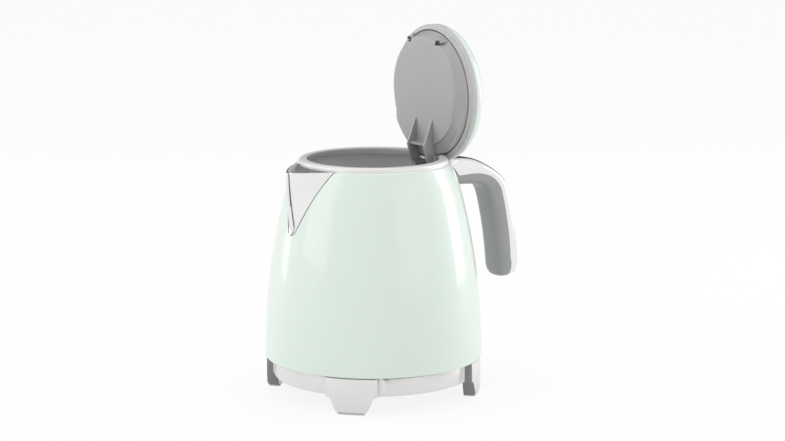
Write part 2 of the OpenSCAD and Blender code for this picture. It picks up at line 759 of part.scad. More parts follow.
// The handle's rounded lower end
function handle_tip() =
    let (o = handle_origin + OUTER[2][3], i = handle_origin + INNER[2][3])
    [for (k = [0 : 5]) let (a = 17 * k, in = 1 - cos(a), p = o - [4.5 * in, 10 * sin(a)],
        q = i + [4.5 * in, -10.8 * sin(a)])
        [p, q, handle_w / 2 * (1 - 0.5 * in), min(cover_depth_grip, 0.48 * norm(p - q))]];

// Half of a rounded box outline: from +y to -y over one end
function round_end(half, depth, p, count) =
    [for (i = [0 : count]) let (a = 180 * i / count)
        [half * sgn_pow(cos(a), 2 / p), depth * sgn_pow(sin(a), 2 / p)]];

// Puts a section outline (y, distance from the seam) into place at a station
function station_points(s, outline) =
    let (d = s[0] - s[1], n = norm(d), u = d / n, seam = s[0] - u * s[3])
    [for (q = outline) let (p = seam + u * q[1]) [p[0], -q[0], p[1]]];

function grip_outline(s) =
    let (n = norm(s[0] - s[1]), g = cover_t + cover_gap)
    concat(round_end(s[2] - g, s[3] - g, 3, 10),
        reversed([for (q = round_end(s[2], n - s[3], 4, 14)) [q[0], -q[1]]]));

function cover_outline(s) =
    concat(round_end(s[2], s[3], 3, 16), reversed(round_end(s[2] - cover_t, s[3] - cover_t, 3, 16)));

// Everything within a distance of the body's wall
module body_room(out) {
    rotate_extrude() polygon(concat([[0, shoulder_z - 30]],
        wall_line(shoulder_z - 30, shell_top_z + 2, out, 12), [[0, shell_top_z + 2]]));
}

module handle_screw_axis(s) {
    z = ring_top_z - handle_screw_d;
    translate([wall_r(z) - wall - 5, s * handle_screw_y, z])
        rotate([0, 90, 0]) children();
}

module handle_grip() {
    color("darkgray") difference() {
        loft([for (s = concat(handle_run(), handle_tip())) station_points(s, grip_outline(s))]);
        body_room(handle_gap);
        for (s = [-1, 1]) handle_screw_axis(s) cylinder(r = 2.05, h = 22);
    }
}

module handle_cover() {
    end_x = wall_r(ring_top_z - 6);
    color("silver") difference() {
        loft([for (s = concat(handle_run(), handle_tip())) station_points(s, cover_outline(s))]);
        // Open lower end
        block(body_r, body_r + 60, handle_w, 0, ring_top_z - 93.2);
        // Slanting end that follows the shoulder
        plate_y(0, handle_w + 4) polygon([[0, ring_top_z], [end_x + 1, ring_top_z],
            [end_x + 1.5, ring_top_z - 6], [end_x + 6.5, ring_top_z - 13], [end_x + 8, ring_top_z - 30],
            [0, ring_top_z - 30]]);
    }
}

module handle_gasket() {
    z0 = ring_top_z - 24;
    z1 = seat_z - 2;
    color("gray") difference() {
        intersection() {
            wall_layer(z0, z1, slack, handle_gap - slack);
            block(0, body_r, handle_w / 2 - 1, z0, z1);
        }
        for (s = [-1, 1]) handle_screw_axis(s) cylinder(r = 2.2, h = 22);
    }
}

module handle_bracket() {
    z0 = ring_top_z - 24;
    z1 = ring_top_z - handle_screw_d + 2.6;
    color("silver") difference() {
        intersection() {
            wall_layer(z0, z1, -wall - slack - 2, -wall - slack);
            block(0, body_r, handle_w / 2 + 1, z0, z1);
        }
        for (s = [-1, 1]) handle_screw_axis(s) cylinder(r = 2.2, h = 22);
    }
}

module handle_screws() {
    color("silver") for (s = [-1, 1]) handle_screw_axis(s) {
        translate([0, 0, -1]) cylinder(r = 3.2, h = 2);
        translate([0, 0, 0.9]) cylinder(r = 2, h = 17);
    }
}

// ---------- kettle: lid hinge ----------

module hinge_bracket() {
    low = notch_z - 3;
    lug_y = ear_y + ear_t / 2 + 2;
    color("darkgray") difference() {
        union() {
            // Foot inside the shell and the seat that fills the notch
            intersection() {
                rotate_extrude() polygon(concat([[ring_in_r + 2.5, low]],
                    wall_line(low, notch_z + 0.1, -wall - slack, 2),
                    wall_line(notch_z + 0.2, seat_z, -0.1, 2), [[ring_in_r + 2.5, seat_z]]));
                block(0, body_r, notch_half - slack, low, seat_z);
            }
            for (s = [-1, 1]) plate_y(s * lug_y, 3) polygon(concat([[hinge_x - 3.4, low], [hinge_x + 5, low],
                [hinge_x + 5, hinge_z - 2]], arc([hinge_x, hinge_z], 3.8, 0, 180)));
        }
        translate([hinge_x, 0, hinge_z]) rotate([90, 0, 0])
            cylinder(r = ear_reach + 0.4, h = 2 * (lug_y - 1.5), center = true);
        translate([hinge_x, 0, hinge_z]) rotate([90, 0, 0])
            cylinder(r = hinge_pin_r + 0.02, h = 60, center = true);
    }
}

module hinge_pin() {
    color("silver") translate([hinge_x, 0, hinge_z]) rotate([90, 0, 0])
        cylinder(r = hinge_pin_r, h = 2 * (ear_y + ear_t / 2 + 3.9), center = true);
}

module hinge_spring() {
    color("gray") translate([hinge_x, 6, hinge_z]) rotate([90, 0, 0]) coil(2.6, 0.5, 7, 12);
}

// ---------- filter ----------

module filter_frame() {
    low = filter_top_z - filter_h;
    color("whitesmoke") difference() {
        block(-filter_x, -filter_x + filter_t, filter_w / 2, low, filter_top_z);
        for (s = [-1, 1]) translate([0, s * (filter_w / 4 - 0.4), 0])
            block(-filter_x - 1, -filter_x + filter_t + 1, filter_w / 4 - 2, low + 2.6, filter_top_z - 4);
    }
}

module filter_mesh() {
    low = filter_top_z - filter_h + 2.8;
    high = filter_top_z - 4.2;
    half = filter_w / 4 - 2.2;
    x = -filter_x + filter_t / 2;
    pitch = 2.2;
    color("silver") for (s = [-1, 1]) translate([0, s * (filter_w / 4 - 0.4), 0]) {
        difference() {
            block(x - 0.2, x + 0.2, half, low, high);
            for (y = [-half + 1 : pitch : half - 1.6], z = [low + 1 : pitch : high - 1.6])
                translate([x - 1, y, z]) cube([2, pitch - 0.7, pitch - 0.7]);
        }
    }
}

// ---------- lid ----------

// Dome curve: a fuller shape than an ellipse, from the edge up to the button's hole
function dome_line(r, h, hole, z) =
    let (p = 2.3, last = acos(pow(hole / r, p / 2)))
    [for (i = [0 : 16]) let (a = last * i / 16) [r * pow(cos(a), 2 / p), z + h * pow(sin(a), 2 / p)]];

module lid_cover() {
    hole = knob_r - 2;
    color("honeydew") open_lid() rotate_extrude($fn = 144) polygon(concat(
        dome_line(lid_r, dome_h, hole, trim_top_z),
        reversed(dome_line(lid_r - dome_t, dome_h - dome_t, hole, trim_top_z))));
}

module lid_trim() {
    color("gainsboro") open_lid() rotate_extrude($fn = 144) polygon([[trim_in_r, lid_z],
        [lid_r - 0.5, lid_z], [lid_r, lid_z + 0.5], [lid_r, trim_top_z], [trim_in_r, trim_top_z]]);
}

module lid_seal() {
    color("dimgray") open_lid() band(trim_in_r - 0.1, trim_in_r - 1.15, lid_z - 0.15, lid_z + 1.4);
}

// Ear, rib and their outline from the drum's floor to the pin
module ear_outline() {
    polygon(concat([[hinge_x - 28.5, drum_z + 0.5], [hinge_x - 11.4, lid_z - ear_d],
        [hinge_x + 1, lid_z - ear_d + 1.8], [hinge_x + 4.2, hinge_z - 3.4]],
        arc([hinge_x, hinge_z], hinge_down - 0.3, -10, 90),
        [[hinge_x - 2.2, lid_z - 0.3], [hinge_x - 2.4, lid_z + 0.2], [hinge_x - 14, lid_z + 0.2]]));
}

// Shelf on the hinge's side: lower than the drum's face and wider than the drum
module liner_shelf() {
    intersection() {
        translate([-drum_shift / 2, 0, drum_z + 1.1]) cylinder(r = liner_r - 1.3, h = drum_d - 0.9);
        block(drum_r / 2, drum_r * 2, drum_r * 2, drum_z, lid_z + 5);
    }
}

module lid_liner() {
    flare_r = liner_r - drum_shift - 0.2;
    channel = tongue_w / 2 + slack;
    color("silver") open_lid() difference() {
        union() {
            // Drum with a flared side
            translate([-drum_shift, 0, 0]) rotate_extrude($fn = 144) polygon(concat(
                [[0, drum_z]], arc([drum_r - 1.6, drum_z + 1.6], 1.6, -90, -15),
                [[mix(drum_r, flare_r, 0.16), drum_z + 4], [mix(drum_r, flare_r, 0.4), lid_z - 2.4],
                 [mix(drum_r, flare_r, 0.75), lid_z - 0.7], [flare_r, lid_z + 0.2]],
                [[drum_r - liner_t, lid_z + 0.2], [drum_r - liner_t, drum_floor_z], [0, drum_floor_z]]));
            difference() {
                rotate_extrude($fn = 144) polygon([[drum_r - drum_shift - 4, lid_z], [liner_r, lid_z],
                    [liner_r, trim_top_z + 0.1], [lid_r - dome_t - 0.4, trim_top_z + 0.1],
                    [lid_r - dome_t - 1.2, trim_top_z + 1.3], [liner_r - 1.5, trim_top_z + 1.3],
                    [liner_r - 1.5, lid_z + liner_t], [drum_r - drum_shift - 4, lid_z + liner_t]]);
                translate([-drum_shift, 0, lid_z - 1]) cylinder(r = drum_r - liner_t, h = 10);
            }
            difference() {
                union() {
                    liner_shelf();
                    // Ears for the hinge pin and their ribs
                    for (s = [-1, 1]) plate_y(s * ear_y, ear_t) ear_outline();
                }
                translate([-drum_shift, 0, drum_floor_z]) cylinder(r = drum_r - liner_t, h = 20);
                // Room for the hinge spring
                block(hinge_x - 9.8, hinge_x + 9, ear_y - ear_t / 2, drum_z - 9, lid_z - 0.2);
            }
            // Web between the ears
            block(hinge_x - 11.4, hinge_x - 9.8, ear_y, lid_z - ear_d + 0.9, lid_z);
            // Boxes that guide the latch tongues
            intersection() {
                for (s = [-1, 1]) translate([-body_r, s * latch_y - channel - 1.2, drum_z + 0.7])
                    cube([body_r - drum_r + 3.5, 2 * channel + 2.4, drum_d - 0.5]);
                translate([0, 0, drum_z]) cylinder(r = liner_r - 1.6, h = drum_d + 0.2);
            }
            // Stop for the latch spring
            block(24, 26, 5, drum_z + 0.5, drum_floor_z + 6.5);
        }
        // Tongue channels and the windows under them
        for (s = [-1, 1]) {
            translate([-body_r, s * latch_y - channel, drum_floor_z])
                cube([body_r - 30, 2 * channel, tongue_t + 0.5]);
            translate([-drum_r - 0.6, s * latch_y - channel, drum_z - 1])
                cube([4.7, 2 * channel, liner_t + 2]);
        }
        translate([hinge_x, 0, hinge_z]) rotate([90, 0, 0])
            cylinder(r = hinge_pin_r + pin_fit, h = 60, center = true);
    }
}

module button_guide() {
    top = trim_top_z + dome_h - dome_t - 0.9;
    low = collar_z + collar_t + 0.4;
    color("lightgray") open_lid() difference() {
        union() {
            translate([0, 0, low]) cylinder(r = 5, h = top - low);
            translate([0, 0, top - 1.2]) cylinder(r = 12, h = 1.2);
        }
        translate([0, 0, low - 1]) cylinder(r = stem_r + 0.1, h = top - low + 2);
        translate([0, 0, lid_z + knob_z - press]) sphere(r = knob_r + slack, $fn = 64);
    }
}

module lid_button() {
    color("silver") open_lid() {
        translate([0, 0, lid_z + knob_z]) sphere(r = knob_r, $fn = 64);
        translate([0, 0, collar_z - 6]) cylinder(r = stem_r, h = lid_z + knob_z - collar_z + 6);
        translate([0, 0, collar_z]) cylinder(r = 7.5, h = collar_t);
        // Arm and wedge that draw the latch back
        block(0, cam_x + 9.7, 2.5, collar_z, collar_z + collar_t);
        plate_y(0, 5) polygon([[cam_x - 0.4, tongue_top_z + 1.15], [cam_x + 0.85, tongue_top_z + 1.15],
            cam_point(1.2), [cam_x + 7.6, collar_z + 0.2], [cam_x - 0.4, collar_z + 0.2]]);
    }
}

// Point on the wedge's face, a little clear of the slider's ramp
function cam_point(f) =
    [cam_x + f * cam_h * latch_travel / press - 0.2, tongue_top_z + f * cam_h + 0.25];

module button_spring() {
    color("gray") open_lid() translate([0, 0, drum_floor_z + 0.7])
        coil(5, 0.5, 4, collar_z - drum_floor_z - 1.4);
}

module latch_slider() {
    z0 = drum_floor_z + 0.1;
    reach = sqrt(pow(ring_in_r + 2, 2) - pow(latch_y, 2));
    bar_x = sqrt(pow(drum_r - liner_t - 0.6, 2) - pow(latch_y + tongue_w / 2, 2)) + drum_shift;
    color("dimgray") open_lid() {
        difference() {
            union() {
                block(-bar_x, cam_x + 8, 9.5, z0, tongue_top_z);
                block(-bar_x, -bar_x + 6, latch_y + tongue_w / 2, z0, tongue_top_z);
                for (s = [-1, 1]) translate([0, s * latch_y, 0])
                    block(-reach, -bar_x + 1, tongue_w / 2, z0, tongue_top_z);
            }
            block(-cam_x - 4, cam_x, 8, z0 - 1, tongue_top_z + 1);
        }
        plate_y(0, 6) polygon([[cam_x, tongue_top_z - 0.5], [cam_x, tongue_top_z],
            [cam_x + cam_h * latch_travel / press, tongue_top_z + cam_h],
            [cam_x + 8, tongue_top_z + cam_h], [cam_x + 8, tongue_top_z - 0.5]]);
    }
}

module latch_spring() {
    color("gray") open_lid() translate([cam_x + 8.6, 0, tongue_top_z + 2]) rotate([0, 90, 0])
        coil(1.8, 0.35, 5, 24 - cam_x - 9.2);
}

base_housing();
base_underside_cover();
base_connector();
base_contacts();
cord_gland();
foot_pads();
base_screws();
connector_pin();
body_shell();
rim_ring();
spout();
filter_guide();
heating_plate();
plate_seal();
diffuser_plate();
heating_element();
bimetal_disc();
control_unit();
connector_cup();
contact_rings();
chassis_ring();
bottom_cover();
bottom_screws();
steam_tube();
power_lever();
lever_knob();
lever_pin();
lever_bezel();
handle_grip();
handle_cover();
handle_gasket();
handle_bracket();
handle_screws();
hinge_bracket();
hinge_pin();
hinge_spring();
filter_frame();
filter_mesh();
lid_cover();
lid_trim();
lid_liner();
lid_seal();
button_guide();
lid_button();
button_spring();
latch_slider();
latch_spring();
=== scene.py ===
"""Small cordless jug kettle on its power base: visible surfaces, finishes and studio."""

import json
import math

import bmesh
import bpy
from bpy.props import FloatProperty, FloatVectorProperty, PointerProperty
from mathutils import Matrix, Vector


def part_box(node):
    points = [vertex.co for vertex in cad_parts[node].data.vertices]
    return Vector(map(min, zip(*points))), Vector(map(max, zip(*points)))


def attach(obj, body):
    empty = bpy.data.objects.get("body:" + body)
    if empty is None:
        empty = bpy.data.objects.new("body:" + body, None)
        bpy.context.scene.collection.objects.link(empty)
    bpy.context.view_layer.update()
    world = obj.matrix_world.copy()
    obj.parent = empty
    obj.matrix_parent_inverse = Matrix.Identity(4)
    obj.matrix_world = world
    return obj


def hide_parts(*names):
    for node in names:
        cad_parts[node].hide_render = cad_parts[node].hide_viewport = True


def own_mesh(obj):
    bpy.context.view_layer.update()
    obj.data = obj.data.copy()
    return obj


bl_info = {
    "name": "Jug kettle with power base",
    "version": (1, 0, 0),
    "blender": (4, 5, 0),
    "location": "View3D > Sidebar > Kettle",
    "description": "Builds the visible surfaces, finishes and studio of a small jug kettle",
    "category": "Object",
}

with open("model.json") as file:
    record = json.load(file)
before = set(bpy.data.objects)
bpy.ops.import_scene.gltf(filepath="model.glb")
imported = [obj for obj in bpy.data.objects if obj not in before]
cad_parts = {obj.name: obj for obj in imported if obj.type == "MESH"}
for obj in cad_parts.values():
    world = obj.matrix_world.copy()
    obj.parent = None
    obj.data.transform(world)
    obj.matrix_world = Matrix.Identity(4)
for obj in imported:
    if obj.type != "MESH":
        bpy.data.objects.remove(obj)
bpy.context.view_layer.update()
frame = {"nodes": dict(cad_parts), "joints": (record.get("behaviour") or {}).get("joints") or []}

MM = 0.001
JOINTS = {joint["name"]: joint for joint in frame["joints"]}


def node_span(node, axis):
    """Lowest and highest coordinate of a CAD node along an axis, in millimetres."""
    low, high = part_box(node)
    return low[axis] / MM, high[axis] / MM


# ---------------------------------------------------------------- sizes taken from the frame

BODY_LOW_Z, SHELL_TOP_Z = node_span("body_shell", 2)
BODY_R = node_span("body_shell", 0)[1]
RING_TOP_Z = node_span("rim_ring", 2)[1]
RING_OUT_R = node_span("rim_ring", 1)[1]
LID_R = node_span("lid_cover", 1)[1]
DOME_R = LID_R - 1.0
HINGE_X = JOINTS["lid_hinge"]["pos_m"][0] / MM
HINGE_Z = JOINTS["lid_hinge"]["pos_m"][2] / MM
# Cutting tools reach this far out and this high, past every part of the kettle
FAR, HIGH = 90.0, 180.0


class KettleSizes(bpy.types.PropertyGroup):
    """Sizes of the visible surfaces"""

    wall_curve: FloatProperty(
        name="Wall curve", description="Radius of the wall's long upright curve",
        default=0.460, unit="LENGTH")
    shoulder_curve: FloatProperty(
        name="Shoulder curve", description="Radius of the shoulder's curve",
        default=0.110, unit="LENGTH")
    shoulder_height: FloatProperty(
        name="Shoulder height", description="Height of the shoulder below the shell's top",
        default=0.0214, unit="LENGTH")
    wall: FloatProperty(
        name="Wall", description="Thickness of the steel wall", default=0.001, unit="LENGTH")
    ring_width: FloatProperty(
        name="Ring width", description="Width of the rim ring", default=0.0062, unit="LENGTH")
    lower_edge: FloatProperty(
        name="Lower edge", description="Radius of the shell's rolled lower edge",
        default=0.0007, unit="LENGTH")
    dome_height: FloatProperty(
        name="Dome height", description="Height of the lid's painted dome",
        default=0.0156, unit="LENGTH")
    handle_width: FloatProperty(
        name="Handle width", description="Width of the handle", default=0.024, unit="LENGTH")
    cover_depth: FloatProperty(
        name="Cover depth", description="Depth of the polished cover at the grip's end",
        default=0.0098, unit="LENGTH")
    lip_drop: FloatProperty(
        name="Lip drop", description="How far the lip's tip lies below the top of the shell",
        default=0.0015, unit="LENGTH")
    nose_radius: FloatProperty(
        name="Nose radius", description="Radius of the spout's folded nose at the lip",
        default=0.0017, unit="LENGTH")


def colour_property(name, description, default):
    """Colour that a user can change."""
    return FloatVectorProperty(name=name, description=description, subtype="COLOR",
                               size=3, min=0.0, max=1.0, default=default)


class KettleColours(bpy.types.PropertyGroup):
    """Colours of the finishes"""

    paint: colour_property("Paint", "Gloss paint of the body and the lid", (0.655, 0.748, 0.678))
    chrome: colour_property("Chrome", "Polished metal", (0.86, 0.86, 0.86))
    steel: colour_property("Steel", "Brushed steel of the small pieces", (0.50, 0.50, 0.49))
    vessel: colour_property("Vessel", "Brushed steel inside the vessel", (0.93, 0.93, 0.92))
    silver: colour_property("Silver", "Satin metallic plastic of the base", (0.74, 0.74, 0.73))
    ring: colour_property("Ring", "Satin steel of the rim ring", (0.74, 0.74, 0.73))
    trim: colour_property("Trim", "Painted trim of the lid", (0.50, 0.50, 0.495))
    liner: colour_property("Liner", "Underside of the lid", (0.36, 0.36, 0.36))
    grip: colour_property("Grip", "Inside of the handle", (0.31, 0.31, 0.315))
    dark: colour_property("Dark plastic", "Hidden and shaded plastic", (0.035, 0.035, 0.037))
    pale: colour_property("Pale plastic", "Filter and control unit", (0.70, 0.69, 0.67))


def sizes():
    """The kettle's sizes, as set on the scene."""
    return bpy.context.scene.kettle_sizes


# ---------------------------------------------------------------- finishes

class Socket:
    """Wraps a node's output so that shader maths reads as ordinary expressions."""

    def __init__(self, nodes, output):
        self.nodes = nodes
        self.output = output

    def _math(self, operation, a, b):
        return self.nodes.add("ShaderNodeMath", {"operation": operation}, {0: a, 1: b})[0]

    def __add__(self, other):
        return self._math("ADD", self, other)

    def __radd__(self, other):
        return self._math("ADD", other, self)

    def __mul__(self, other):
        return self._math("MULTIPLY", self, other)

    def __rmul__(self, other):
        return self._math("MULTIPLY", other, self)


class Nodes:
    """The nodes of a material or a world."""

    def __init__(self, tree):
        self.tree = tree

    def add(self, kind, settings, inputs):
        """Adds a node, applies its settings, then gives its sockets their values or links."""
        node = self.tree.nodes.new(kind)
        for key, value in settings.items():
            if key == "stops":
                self.set_stops(node.color_ramp.elements, value)
            else:
                setattr(node, key, value)
        for key, value in inputs.items():
            self.feed(node.inputs[key], value)
        return [Socket(self, output) for output in node.outputs]

    def set_stops(self, stops, greys):
        """Sets a ramp's stops from pairs of a place and a grey."""
        while len(stops) < len(greys):
            stops.new(0.5)
        for stop, (place, grey) in zip(stops, greys):
            stop.position = place
            stop.color = (grey, grey, grey, 1.0)

    def feed(self, target, value):
        """Links a socket to another node's output, or gives it a plain value."""
        if isinstance(value, Socket):
            self.tree.links.new(value.output, target)
        else:
            target.default_value = value

    def rays(self):
        """Sockets that are 1 for camera rays, for glossy rays and for transmission rays."""
        path = self.add("ShaderNodeLightPath", {}, {})
        return path[0], path[3], path[6]


class Finish(Nodes):
    """One material, with its shader."""

    def __init__(self, name):
        self.material = bpy.data.materials.new(name)
        self.material.use_nodes = True
        super().__init__(self.material.node_tree)
        self.shader = self.tree.nodes["Principled BSDF"]

    def set(self, **inputs):
        """Feeds the shader's sockets, whose names have an underscore for each space."""
        for key, value in inputs.items():
            self.feed(self.shader.inputs[key.replace("_", " ")], value)

    def noise(self, scale, detail=2.0):
        """Noise over the piece's own coordinates in metres, scaled."""
        coordinates = self.add("ShaderNodeTexCoord", {}, {})[3]
        placed = self.add("ShaderNodeMapping", {}, {"Vector": coordinates, "Scale": scale})[0]
        return self.add("ShaderNodeTexNoise", {}, {"Vector": placed, "Scale": 1.0,
                                                    "Detail": detail})[0]

    def blend(self, mask, low, high):
        """Colour that runs from low to high with the mask."""
        return self.add("ShaderNodeMix", {"data_type": "RGBA"},
                        {0: mask, 6: (*low, 1.0), 7: (*high, 1.0)})[2]

    def bump(self, height, strength, distance):
        normal = self.add("ShaderNodeBump", {}, {"Strength": strength, "Distance": distance,
                                                 "Height": height})[0]
        self.set(Normal=normal)


def finish_named(name):
    """Material of a finish."""
    return bpy.data.materials[name]


def darker(tone, share):
    """A colour darkened to a share of itself."""
    return tuple(share * c for c in tone)


class KETTLE_OT_finishes(bpy.types.Operator):
    """Paint, metals and plastics of the kettle"""

    bl_idname = "kettle.finishes"
    bl_label = "Finishes"

    def execute(self, context):
        tones = context.scene.kettle_colours
        self.paint(tones.paint)
        self.polished(tones.chrome)
        self.brushed("brushed_steel", tones.steel, (90.0, 90.0, 2600.0), rough=0.30)
        self.brushed("vessel_steel", tones.vessel, (60.0, 60.0, 2200.0), rough=0.45, metallic=0.10)
        self.brushed("satin_steel", tones.ring, (700.0, 700.0, 90.0), rough=0.40, metallic=0.50)
        # Darker copy of the chrome: painted shade for the crease between the spout's panels and its bead
        self.brushed("shaded_steel", darker(tones.chrome, 0.22), (500.0, 500.0, 90.0), rough=0.25)
        self.plastic("satin_silver", tones.silver, 900.0, rough=0.34, relief=0.03, metallic=0.55)
        # Darker copy of the silver: painted shade on the side walls of the feet
        self.plastic("shaded_silver", darker(tones.silver, 0.30), 900.0, rough=0.34, relief=0.03,
                     metallic=0.55)
        self.plastic("satin_trim", tones.trim, 700.0, rough=0.50, relief=0.03, metallic=0.20)
        self.plastic("satin_liner", tones.liner, 700.0, rough=0.40, relief=0.05, metallic=0.20)
        self.plastic("satin_grip_plastic", tones.grip, 1100.0, rough=0.36, relief=0.08)
        self.plastic("dark_plastic", tones.dark, 800.0, rough=0.50, relief=0.06)
        self.plastic("pale_plastic", tones.pale, 800.0, rough=0.42, relief=0.04)
        self.plastic("soft_rubber", (0.055, 0.055, 0.058), 1500.0, rough=0.72, relief=0.10)
        self.plastic("grey_rubber", (0.46, 0.46, 0.46), 1500.0, rough=0.70, relief=0.10)
        self.brushed("contact_brass", (0.62, 0.47, 0.24), (1200.0, 1200.0, 400.0), rough=0.22)
        self.brushed("plain_aluminium", (0.52, 0.52, 0.52), (500.0, 500.0, 1500.0), rough=0.40)
        return {"FINISHED"}

    def paint(self, tone):
        """Gloss enamel: a faint orange peel under a clear coat."""
        paint = Finish("gloss_paint")
        ripple = paint.noise((240.0, 240.0, 240.0))
        cloud = paint.noise((18.0, 18.0, 18.0))
        paint.set(Base_Color=paint.blend(cloud, darker(tone, 0.985), tone),
                  Roughness=0.33 + 0.05 * ripple, Coat_Weight=0.6, Coat_Roughness=0.06)
        paint.bump(ripple, 0.03, 0.00005)

    def polished(self, tone):
        """Polished sheet with faint smears."""
        chrome = Finish("polished_steel")
        smear = chrome.noise((45.0, 45.0, 45.0))
        wipe = chrome.noise((300.0, 300.0, 60.0))
        chrome.set(Base_Color=chrome.blend(smear, darker(tone, 0.94), tone), Metallic=1.0,
                   Roughness=0.05 + 0.06 * smear + 0.03 * wipe)

    def brushed(self, name, tone, scale, rough, metallic=1.0):
        """Metal with fine lines, closest together along the axis with the largest scale."""
        metal = Finish(name)
        lines = metal.noise(scale, 3.0)
        metal.set(Base_Color=metal.blend(lines, darker(tone, 0.88), tone), Metallic=metallic,
                  Roughness=rough + 0.14 * lines)
        metal.bump(lines, 0.10, 0.0002)

    def plastic(self, name, tone, scale, rough, relief, metallic=0.0):
        """Moulded plastic with a fine grain, plain or with metal flake."""
        plastic = Finish(name)
        grain = plastic.noise((scale, scale, scale), 3.0)
        flow = plastic.noise((35.0, 35.0, 35.0))
        plastic.set(Base_Color=plastic.blend(flow, darker(tone, 0.95), tone), Metallic=metallic,
                    Roughness=rough + 0.09 * grain)
        plastic.bump(grain, relief, 0.0001)


# ---------------------------------------------------------------- shape helpers

def new_piece(name, bm, finishes, body, replaces, sharp):
    """Turns a bmesh into a finished piece that rides on a body, in the place of CAD nodes."""
    mesh = bpy.data.meshes.new(name)
    bm.to_mesh(mesh)
    bm.free()
    piece = bpy.data.objects.new(name, mesh)
    bpy.context.scene.collection.objects.link(piece)
    for finish in finishes:
        mesh.materials.append(finish_named(finish))
    shade(piece, sharp)
    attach(piece, body)
    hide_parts(*replaces)
    return piece


def shade(piece, sharp):
    """Smooth shading with an edge wherever faces turn by more than an angle in degrees."""
    piece.data.polygons.foreach_set("use_smooth", [True] * len(piece.data.polygons))
    piece.data.set_sharp_from_angle(angle=math.radians(sharp))


def soften(piece, width, angle):
    """Rounds the edges where a piece's faces turn by more than an angle in degrees."""
    edge = piece.modifiers.new("edge", "BEVEL")
    edge.width = width * MM
    edge.segments = 2
    edge.limit_method = "ANGLE"
    edge.angle_limit = math.radians(angle)


def arc(centre, radius, start, end, steps):
    """Points of an arc, from one angle in degrees to another."""
    turn = [math.radians(start + (end - start) * i / steps) for i in range(steps + 1)]
    return [(centre[0] + radius * math.cos(a), centre[1] + radius * math.sin(a)) for a in turn]


def spun(outline, steps=160):
    """Turns a closed (r, z) outline in millimetres about the upright axis."""
    bm = bmesh.new()
    verts = [bm.verts.new((r * MM, 0.0, z * MM)) for r, z in outline]
    edges = [bm.edges.new(pair) for pair in zip(verts, verts[1:] + verts[:1])]
    bmesh.ops.spin(bm, geom=verts + edges, cent=(0, 0, 0), axis=(0, 0, 1), dvec=(0, 0, 0),
                   angle=math.tau, steps=steps, use_merge=True, use_duplicate=False)
    bmesh.ops.remove_doubles(bm, verts=bm.verts, dist=2e-6)
    bmesh.ops.recalc_face_normals(bm, faces=bm.faces)
    return bm


def prism(outline, place, depth):
    """Extrudes an outline of (a, b) points: place turns each into a 3-D point, depth is a vector."""
    bm = bmesh.new()
    face = bm.faces.new([bm.verts.new(Vector(place(a, b)) * MM) for a, b in outline])
    out = bmesh.ops.extrude_face_region(bm, geom=[face])
    moved = [v for v in out["geom"] if isinstance(v, bmesh.types.BMVert)]
    bmesh.ops.translate(bm, verts=moved, vec=Vector(depth) * MM)
    bmesh.ops.recalc_face_normals(bm, faces=bm.faces)
    return bm


def box(low, high):
    """Box between two corners in millimetres."""
    bm = bmesh.new()
    bmesh.ops.create_cube(bm, size=1.0)
    low, high = Vector(low) * MM, Vector(high) * MM
    size = high - low
    bmesh.ops.transform(bm, verts=bm.verts, matrix=Matrix.Translation((low + high) / 2)
                        @ Matrix.Diagonal((*size, 1.0)))
    return bm


def carved(bm, *tools, operation="DIFFERENCE"):
    """Cuts other shapes out of one, joins them to it, or keeps what they share."""
    def solid(name, source):
        mesh = bpy.data.meshes.new(name)
        source.to_mesh(mesh)
        source.free()
        made = bpy.data.objects.new(name, mesh)
        bpy.context.scene.collection.objects.link(made)
        return made

    work = solid("carving", bm)
    cutters = [solid("cutter", tool) for tool in tools]
    for cutter in cutters:
        change = work.modifiers.new("cut", "BOOLEAN")
        change.operation = operation
        change.solver = "EXACT"
        change.object = cutter
    bpy.context.view_layer.update()
    result = bpy.data.meshes.new_from_object(
        work.evaluated_get(bpy.context.evaluated_depsgraph_get()))
    out = bmesh.new()
    out.from_mesh(result)
    for done in [work, *cutters]:
        bpy.data.objects.remove(done)
    bmesh.ops.remove_doubles(out, verts=out.verts, dist=1e-6)
    return out


def skin(levels, solid=True):
    """Runs a surface through levels of points, each made by extruding the one before.

    The levels of a solid are closed lines, and its first and last get a face."""
    bm = bmesh.new()
    line = [bm.verts.new(Vector(p) * MM) for p in levels[0]]
    pairs = list(zip(line, line[1:]))
    if solid:
        pairs.append((line[-1], line[0]))
    edges = [bm.edges.new(pair) for pair in pairs]
    if solid:
        bm.faces.new(line)
    for points in levels[1:]:
        out = bmesh.ops.extrude_edge_only(bm, edges=edges)["geom"]
        fresh = {v for v in out if isinstance(v, bmesh.types.BMVert)}
        partner = {}
        for v in fresh:
            for edge in v.link_edges:
                if edge.other_vert(v) not in fresh:
                    partner[edge.other_vert(v)] = v
        line = [partner[v] for v in line]
        for v, p in zip(line, points):
            v.co = Vector(p) * MM
        edges = [e for e in out if isinstance(e, bmesh.types.BMEdge)]
    if solid:
        bm.faces.new(line)
    bmesh.ops.recalc_face_normals(bm, faces=bm.faces)
    return bm


def lid_turn():
    """Matrix that turns a shape drawn on the closed lid to where the lid stands open."""
    pin = Vector((HINGE_X, 0, HINGE_Z)) * MM
    open_angle = -math.radians(JOINTS["lid_hinge"]["range_deg"][0])
    return Matrix.Translation(pin) @ Matrix.Rotation(open_angle, 4, "Y") @ Matrix.Translation(-pin)


def on_open_lid(bm):
    """Turns a shape drawn on the closed lid with the lid."""
    bmesh.ops.transform(bm, verts=bm.verts, matrix=lid_turn())
    return bm


CORNER_ANGLE = math.radians(40)


